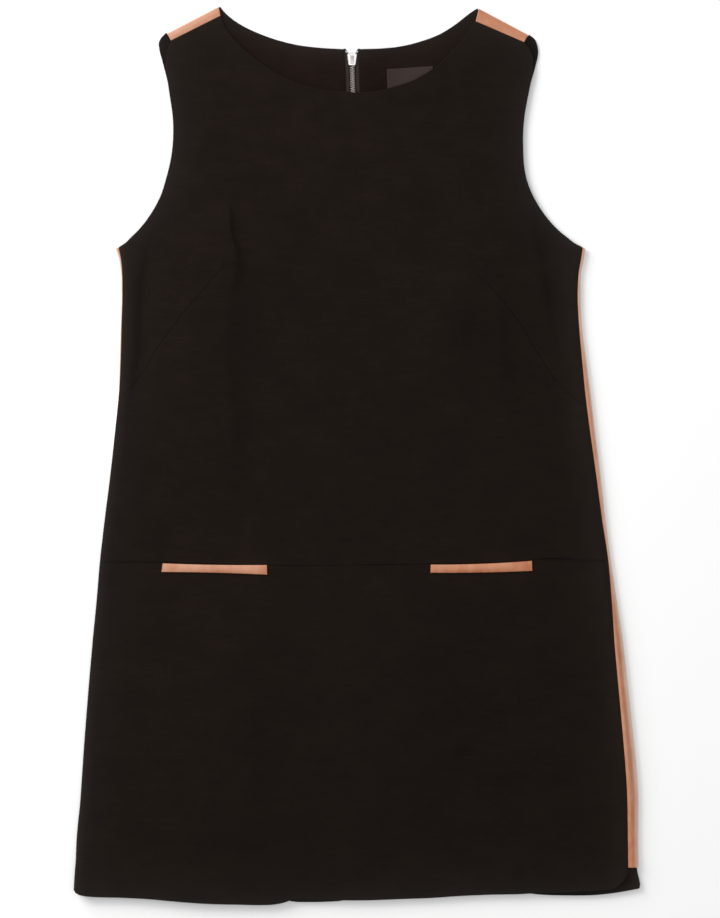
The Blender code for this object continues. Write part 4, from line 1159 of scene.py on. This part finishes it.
def shoulder_strip(side):
    """The strip over a shoulder, from the front's seam round the fold to the back."""
    row = SHOULDERS[side]
    shares, across = steps(*STRIP_ALONG), steps(*STRIP_ACROSS)
    fold = between(row.fold_neck, row.fold_arm, shares)
    inward = between(row.seam_neck, row.seam_arm, shares) - fold
    width = np.linalg.norm(inward, axis=1)
    inward /= width[:, None]
    # Arc from the fold's outermost line: the front's seam is furthest up, the back's lowest.
    top_arc = (width - SEAM - FOLD_OUT + QUARTER)[:, None]
    arc = top_arc + (-QUARTER - top_arc) * across[None]
    away, z = turned(arc)
    place = fold[:, None] + inward[:, None] * away[..., None]
    on_front = front_height(place[..., 0], place[..., 1])
    z = np.where(arc > QUARTER, on_front + STRIP_RISE * eased((arc - QUARTER) / 2), z)
    points = lifted(place, z)
    way = np.broadcast_to(shares[:, None] * STRIP_ALONG[0], arc.shape)
    flat = np.stack([arc, way], axis=-1)
    if side == "right":
        points, flat = points[::-1], flat[::-1]
    edges, grids, finish = Edges(ROUND, SEWN, ROUND, ROUND), [(points, flat)], tan_shoulder[side]
    node = f"shoulder_strip_{side}"
    piece = shell(f"shoulder_{side}", grids, CLOTH, edges, finish, [node])


def patch(corners, rows, columns):
    """A flat grid between four corners, given round from the lower left."""
    low_left, low_right, high_right, high_left = corners
    return ruled(between(low_left, high_left, rows), between(low_right, high_right, rows), columns)


def pocket_welt(side):
    """A folded welt that hangs from the waist seam, fuller along its middle."""
    rows, across = steps(*WELT_UP), steps(*WELT_ACROSS)
    flat = patch(WELT_CORNERS[side], rows, across)
    middle = 4 * across * (1 - across)
    flat[..., 1] += (0.5 - rows)[:, None] * WELT_WAISTS[side] * middle - WELT_SAGS[side] * middle
    height = front_height(flat[..., 0], flat[..., 1]) + CLOTH / 2 + SEAM + WELT / 2
    full = WELT_FULL * np.sin(math.pi * rows)[:, None] * np.sin(math.pi * across)[None] ** 0.5
    node, grids = f"pocket_welt_{side}", [(lifted(flat, height + full), flat)]
    piece = shell(f"welt_{side}", grids, WELT, ALL_ROUND, tan, [node])


def neck_label():
    flat = patch(LABEL_CORNERS, steps(*LABEL_UP), steps(*LABEL_ACROSS))
    edges, grids = Edges(*[LABEL_ROLL] * 4), [(flat_on_floor(flat, LABEL_ABOVE), flat)]
    piece = shell("woven_label", grids, LABEL, edges, label_cloth, ["neck_label"])


def tape_apart(heights):
    """Half the gap between the two tapes."""
    share = eased((heights - TAPE_MEET) / (TAPE_TOP - TAPE_MEET) * SPLAY_SHARE) / eased(SPLAY_SHARE)
    return SEAM / 2 + (TAPE_SPLAY - SEAM / 2) * share


def zip_tape(sign):
    """The grid of one tape, from the centre line to the back's folded edge."""
    bottom = ZIP_END + 2 * SEAM
    heights = bottom + (TAPE_TOP - bottom) * steps(TAPE_TOP - bottom, TAPE_ROW)
    centre = centre_back(heights)
    inner = np.stack([centre + sign * tape_apart(heights), heights], axis=-1)
    outer = np.stack([centre + sign * (OPENING_HALF + TAPE_TUCK), heights], axis=-1)
    flat = ruled(*((outer, inner) if sign < 0 else (inner, outer)), steps(*TAPE_ACROSS))
    z = np.broadcast_to(back_height(centre, heights)[:, None], flat.shape[:2])
    points = lifted(flat, z)
    flat[..., 0] -= centre[:, None]
    return points, flat


def zip_tapes():
    grids = [zip_tape(sign) for sign in SIGNS.values()]
    nodes = ["zip_tape_left", "zip_tape_right"]
    piece = shell("zip_tapes", grids, TAPE, ALL_ROUND, tape_cloth, nodes)


# Small repeated things: one template, copied along a line into one mesh

Box = namedtuple("Box", "size centre bevel segments")
BEVEL_PROFILE = 0.6  # a little fuller than round
TOOTH_CLAMP = Box((2.3, 1.2, 2.5), (-1.15, 0, 0), 0.28, 2)  # over the tape's edge
TOOTH_HEAD = Box((1.35, 0.95, 1.7), (0.2, 0, 0), 0.3, 2)
BOTTOM_STOP = Box((5.6, 2.6, 2.2), (0, 0, 0), 0.45, 3)
TOP_STOP = Box((1.2, 2.3, 1.9), (0, 0, 0), 0.35, 3)
SLIDER_PANEL = Box((3.6, 8.4, 0.4), (0, 0, 0), 0.15, 2)
TOOTH_PITCH, TOOTH_OFF = 2.3, 0.05  # and how far off the middle a tooth's own middle is
FIRST_TOOTH_UP, BOTTOM_STOP_UP = 5.0, 3.0  # above the zip's lower end
TOP_STOP_DOWN = 3.2  # below the tapes' upper ends
TOP_STOP_OFF, TOP_STOP_ABOVE = 1.2, 0.1  # from the tape's edge, and from its middle
TOP_STOP_LEAN = math.radians(38)  # it follows the edge of its splayed tape
PANEL_OFF = 0.2  # the panel sits this far right of and below the slider's middle
STITCH, STITCH_GAP, STITCH_SINK = 2.2, 0.8, 0.3
STITCH_OFF = 2.6  # from the folded edge
STITCHED_FROM, STITCHED_TO = ZIP_END + 4, 400
STITCH_LAYERS = (("", -1, 0.42), ("_inside", 1, 0.38))  # name, face, thickness
SOFT_EDGE, SOFT_ANGLE, WELD_REACH = 0.16, math.radians(35), 0.01  # of the frame's own metal
STRAIGHT = [(1, 0, 0), (0, 1, 0), (0, 0, 1)]


def template(build):
    """Vertices and faces of a small shape that bmesh makes."""
    shape = bmesh.new()
    build(shape)
    shape.verts.index_update()
    vertices = np.array([vertex.co for vertex in shape.verts])
    faces = [[vertex.index for vertex in face.verts] for face in shape.faces]
    shape.free()
    return vertices, faces


def on_zip(y, aside=0.0, above=0.0):
    """A point on the zip's middle, or beside and above it."""
    return float(centre_back(y)) + aside, y, float(back_height(centre_back(y), y)) + above


def copies(name, shape, frames, finish):
    """Copies of a template, each put in place by an origin and three axes."""
    vertices, faces = shape
    all_vertices, all_faces = [], []
    for k, (origin, axes) in enumerate(frames):
        all_vertices.append(vertices @ np.array(axes) + np.array(origin))
        all_faces += [[index + k * len(vertices) for index in face] for face in faces]
    return new_piece(name, np.concatenate(all_vertices), all_faces, finish)


def boxes(*rows):
    """A template of boxes with bevelled edges."""

    def build(shape):
        for row in rows:
            corners = bmesh.ops.create_cube(shape, size=1)["verts"]
            for vertex in corners:
                vertex.co = Vector([c * s + m for c, s, m in zip(vertex.co, row.size, row.centre)])
            edges = list({edge for vertex in corners for edge in vertex.link_edges})
            roll = {"offset": row.bevel, "segments": row.segments, "profile": BEVEL_PROFILE}
            bmesh.ops.bevel(shape, geom=edges, affect="EDGES", **roll)

    return template(build)


def chain(side):
    """The teeth of one tape, from the bottom stop up into the slider."""
    sign = SIGNS[side]
    y = ZIP_END + FIRST_TOOTH_UP + (0 if side == "left" else TOOTH_PITCH / 2)
    frames = []
    while y < SLIDER_TOP_Y - SLIDER_LENGTH:
        frames.append((on_zip(y, sign * TOOTH_OFF), [(-sign, 0, 0), (0, 1, 0), (0, 0, -sign)]))
        y += TOOTH_PITCH
    tooth = boxes(TOOTH_CLAMP, TOOTH_HEAD)
    copies(f"zip_teeth_{side}", tooth, frames, teeth_nickel)


def stops():
    frames = [(on_zip(ZIP_END + BOTTOM_STOP_UP), STRAIGHT)]
    copies("zip_bottom_stop", boxes(BOTTOM_STOP), frames, nickel)
    y = TAPE_TOP - TOP_STOP_DOWN
    off = float(tape_apart(y)) + TOP_STOP_OFF
    ahead, aside = math.cos(TOP_STOP_LEAN), math.sin(TOP_STOP_LEAN)
    frames = []
    for sign in SIGNS.values():
        leaning = [(ahead, -sign * aside, 0), (sign * aside, ahead, 0), (0, 0, 1)]
        frames.append((on_zip(y, sign * off, TOP_STOP_ABOVE), leaning))
    copies("zip_top_stops", boxes(TOP_STOP), frames, rubbed_nickel)


def stitch(shape):
    """A sewn stitch 1 long and 1 thick, along x, fat in the middle."""
    bmesh.ops.create_uvsphere(shape, u_segments=8, v_segments=6, radius=0.5)


def stitch_line(name, path, face, thick):
    """Stitches along a path of points, on the cloth's upper (1) or lower (-1) face."""
    run = lengths(path)

    def place(at):
        return np.array([np.interp(at, run, path[:, k]) for k in range(3)])

    frames = []
    middle = STITCH_GAP + STITCH / 2
    while middle + STITCH / 2 < run[-1]:
        origin = place(middle)
        ahead = place(middle + 0.5) - origin
        ahead /= np.linalg.norm(ahead)
        normal = np.array([0, 0, face]) - ahead * (face * ahead[2])
        normal /= np.linalg.norm(normal)
        aside = np.cross(normal, ahead)
        origin = origin + normal * thick * (0.5 - STITCH_SINK)
        frames.append((origin, [ahead * STITCH, aside * thick, normal * thick]))
        middle += STITCH + STITCH_GAP
    copies(name, template(stitch), frames, black_thread)


def sewing():
    """Stitching along the zip's folded edges, outside and inside."""
    y = np.linspace(STITCHED_FROM, STITCHED_TO, 300)
    for side, sign in SIGNS.items():
        x = centre_back(y) + sign * (OPENING_HALF + STITCH_OFF)
        for layer, face, thick in STITCH_LAYERS:
            path = np.stack([x, y, back_height(x, y) + face * CLOTH / 2], axis=-1)
            stitch_line(f"zip_stitching{layer}_{side}", path, face, thick)


def metal_parts():
    """The slider gets a rubbed grey panel. It and the pull tab keep their frame meshes."""
    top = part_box("zip_slider")[1][2] / MM
    x, y, _ = on_zip(SLIDER_TOP_Y - SLIDER_LENGTH / 2 - PANEL_OFF, PANEL_OFF)
    frames = [((x, y, top), STRAIGHT)]
    copies("zip_slider_face", boxes(SLIDER_PANEL), frames, rubbed_nickel)
    for name in ("zip_slider", "zip_pull"):
        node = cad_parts[name]
        for place in node.material_slots:
            place.link = "OBJECT"
            place.material = nickel
        weld = node.modifiers.new("weld", "WELD")
        weld.merge_threshold = WELD_REACH * MM
        soft = node.modifiers.new("soft_edges", "BEVEL")
        soft.width = SOFT_EDGE * MM
        soft.segments = 2
        soft.limit_method = "ANGLE"
        soft.angle_limit = SOFT_ANGLE
        soft.harden_normals = False


def dress():
    front_bodice()
    front_skirt()
    for side in SIGNS:
        back_half(side)
        shoulder_strip(side)
        pocket_welt(side)
        chain(side)
    for side in SIGNS:
        side_stripe(side)
    zip_tapes()
    neck_label()
    stops()
    sewing()
    metal_parts()


# Studio, in metres but for the view

VIEW_CENTRE, VIEW_LOWER = (2.5, -3.0), 3.0  # and the camera hangs this much lower
VIEW_HEIGHT = 918  # 1 mm of the floor to each row of the picture
LENS, SENSOR, FARTHEST = 100.0, 36.0, 20.0
FLOOR_HALF, FLOOR_Z, FLOOR_GREY = 4.0, -0.0003, 0.96
SKY = 0.41
Light = namedtuple("Light", "name place size watts")
LIGHTS = (Light("key", (-2.1, 1.75, 1.45), 2.0, 98), Light("top", (0.0, -0.1, 3.0), 1.8, 26))
HAZES = ((18, 0.008), (70, 0.008))  # reach in pixels, share of the light


def camera():
    data = bpy.data.cameras.new("camera")
    data.sensor_width = SENSOR
    data.lens = LENS
    data.clip_end = FARTHEST
    view = bpy.data.objects.new("camera", data)
    above = VIEW_HEIGHT * LENS / SENSOR - VIEW_LOWER
    view.location = [c * MM for c in (*VIEW_CENTRE, above)]
    bpy.context.scene.collection.objects.link(view)
    bpy.context.scene.camera = view


def area_light(row):
    data = bpy.data.lights.new(row.name, "AREA")
    data.shape = "RECTANGLE"
    data.size = data.size_y = row.size
    data.energy = row.watts
    light = bpy.data.objects.new(row.name, data)
    light.location = row.place
    light.rotation_euler = (-Vector(row.place)).to_track_quat("-Z", "Y").to_euler()
    bpy.context.scene.collection.objects.link(light)


def lay_floor():
    mesh = bpy.data.meshes.new("floor")
    ends = (-FLOOR_HALF, FLOOR_HALF)
    corners = [(x, y, FLOOR_Z) for y in ends for x in ends]
    mesh.from_pydata(corners, [], [(0, 1, 3, 2)])
    floor = bpy.data.objects.new("floor", mesh)
    bpy.context.scene.collection.objects.link(floor)
    made = Finish("studio_floor")
    made.set(base_color=(*[FLOOR_GREY] * 3, 1), roughness=0.9, specular_ior_level=0.1)
    mesh.materials.append(made.material)
    floor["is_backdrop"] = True


def studio():
    lay_floor()
    world = bpy.data.worlds.new("studio")
    world.use_nodes = True
    background = world.node_tree.nodes["Background"]
    background.inputs["Color"].default_value = (1, 1, 1, 1)
    background.inputs["Strength"].default_value = SKY
    bpy.context.scene.world = world
    for row in LIGHTS:
        area_light(row)
    bpy.context.scene.view_settings.view_transform = "Standard"


def lens_haze():
    """A lens spreads a little of the white surroundings over the rim of the dark cloth."""
    scene = bpy.context.scene
    scene.use_nodes = True
    tree = scene.node_tree
    tree.nodes.clear()
    sharp = tree.nodes.new("CompositorNodeRLayers").outputs["Image"]
    image = sharp
    for reach, share in HAZES:
        blur = tree.nodes.new("CompositorNodeBlur")
        blur.filter_type = "GAUSS"
        blur.size_x = blur.size_y = reach
        add = tree.nodes.new("CompositorNodeMixRGB")
        add.blend_type = "ADD"
        add.inputs[0].default_value = share
        tree.links.new(sharp, blur.inputs["Image"])
        tree.links.new(image, add.inputs[1])
        tree.links.new(blur.outputs[0], add.inputs[2])
        image = add.outputs[0]
    shown = tree.nodes.new("CompositorNodeComposite")
    tree.links.new(image, shown.inputs["Image"])


camera()
studio()
lens_haze()
dress()
new_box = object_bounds()
boxes = {"cad": [list(c) for c in cad_box], "visual": [list(c) for c in new_box]}
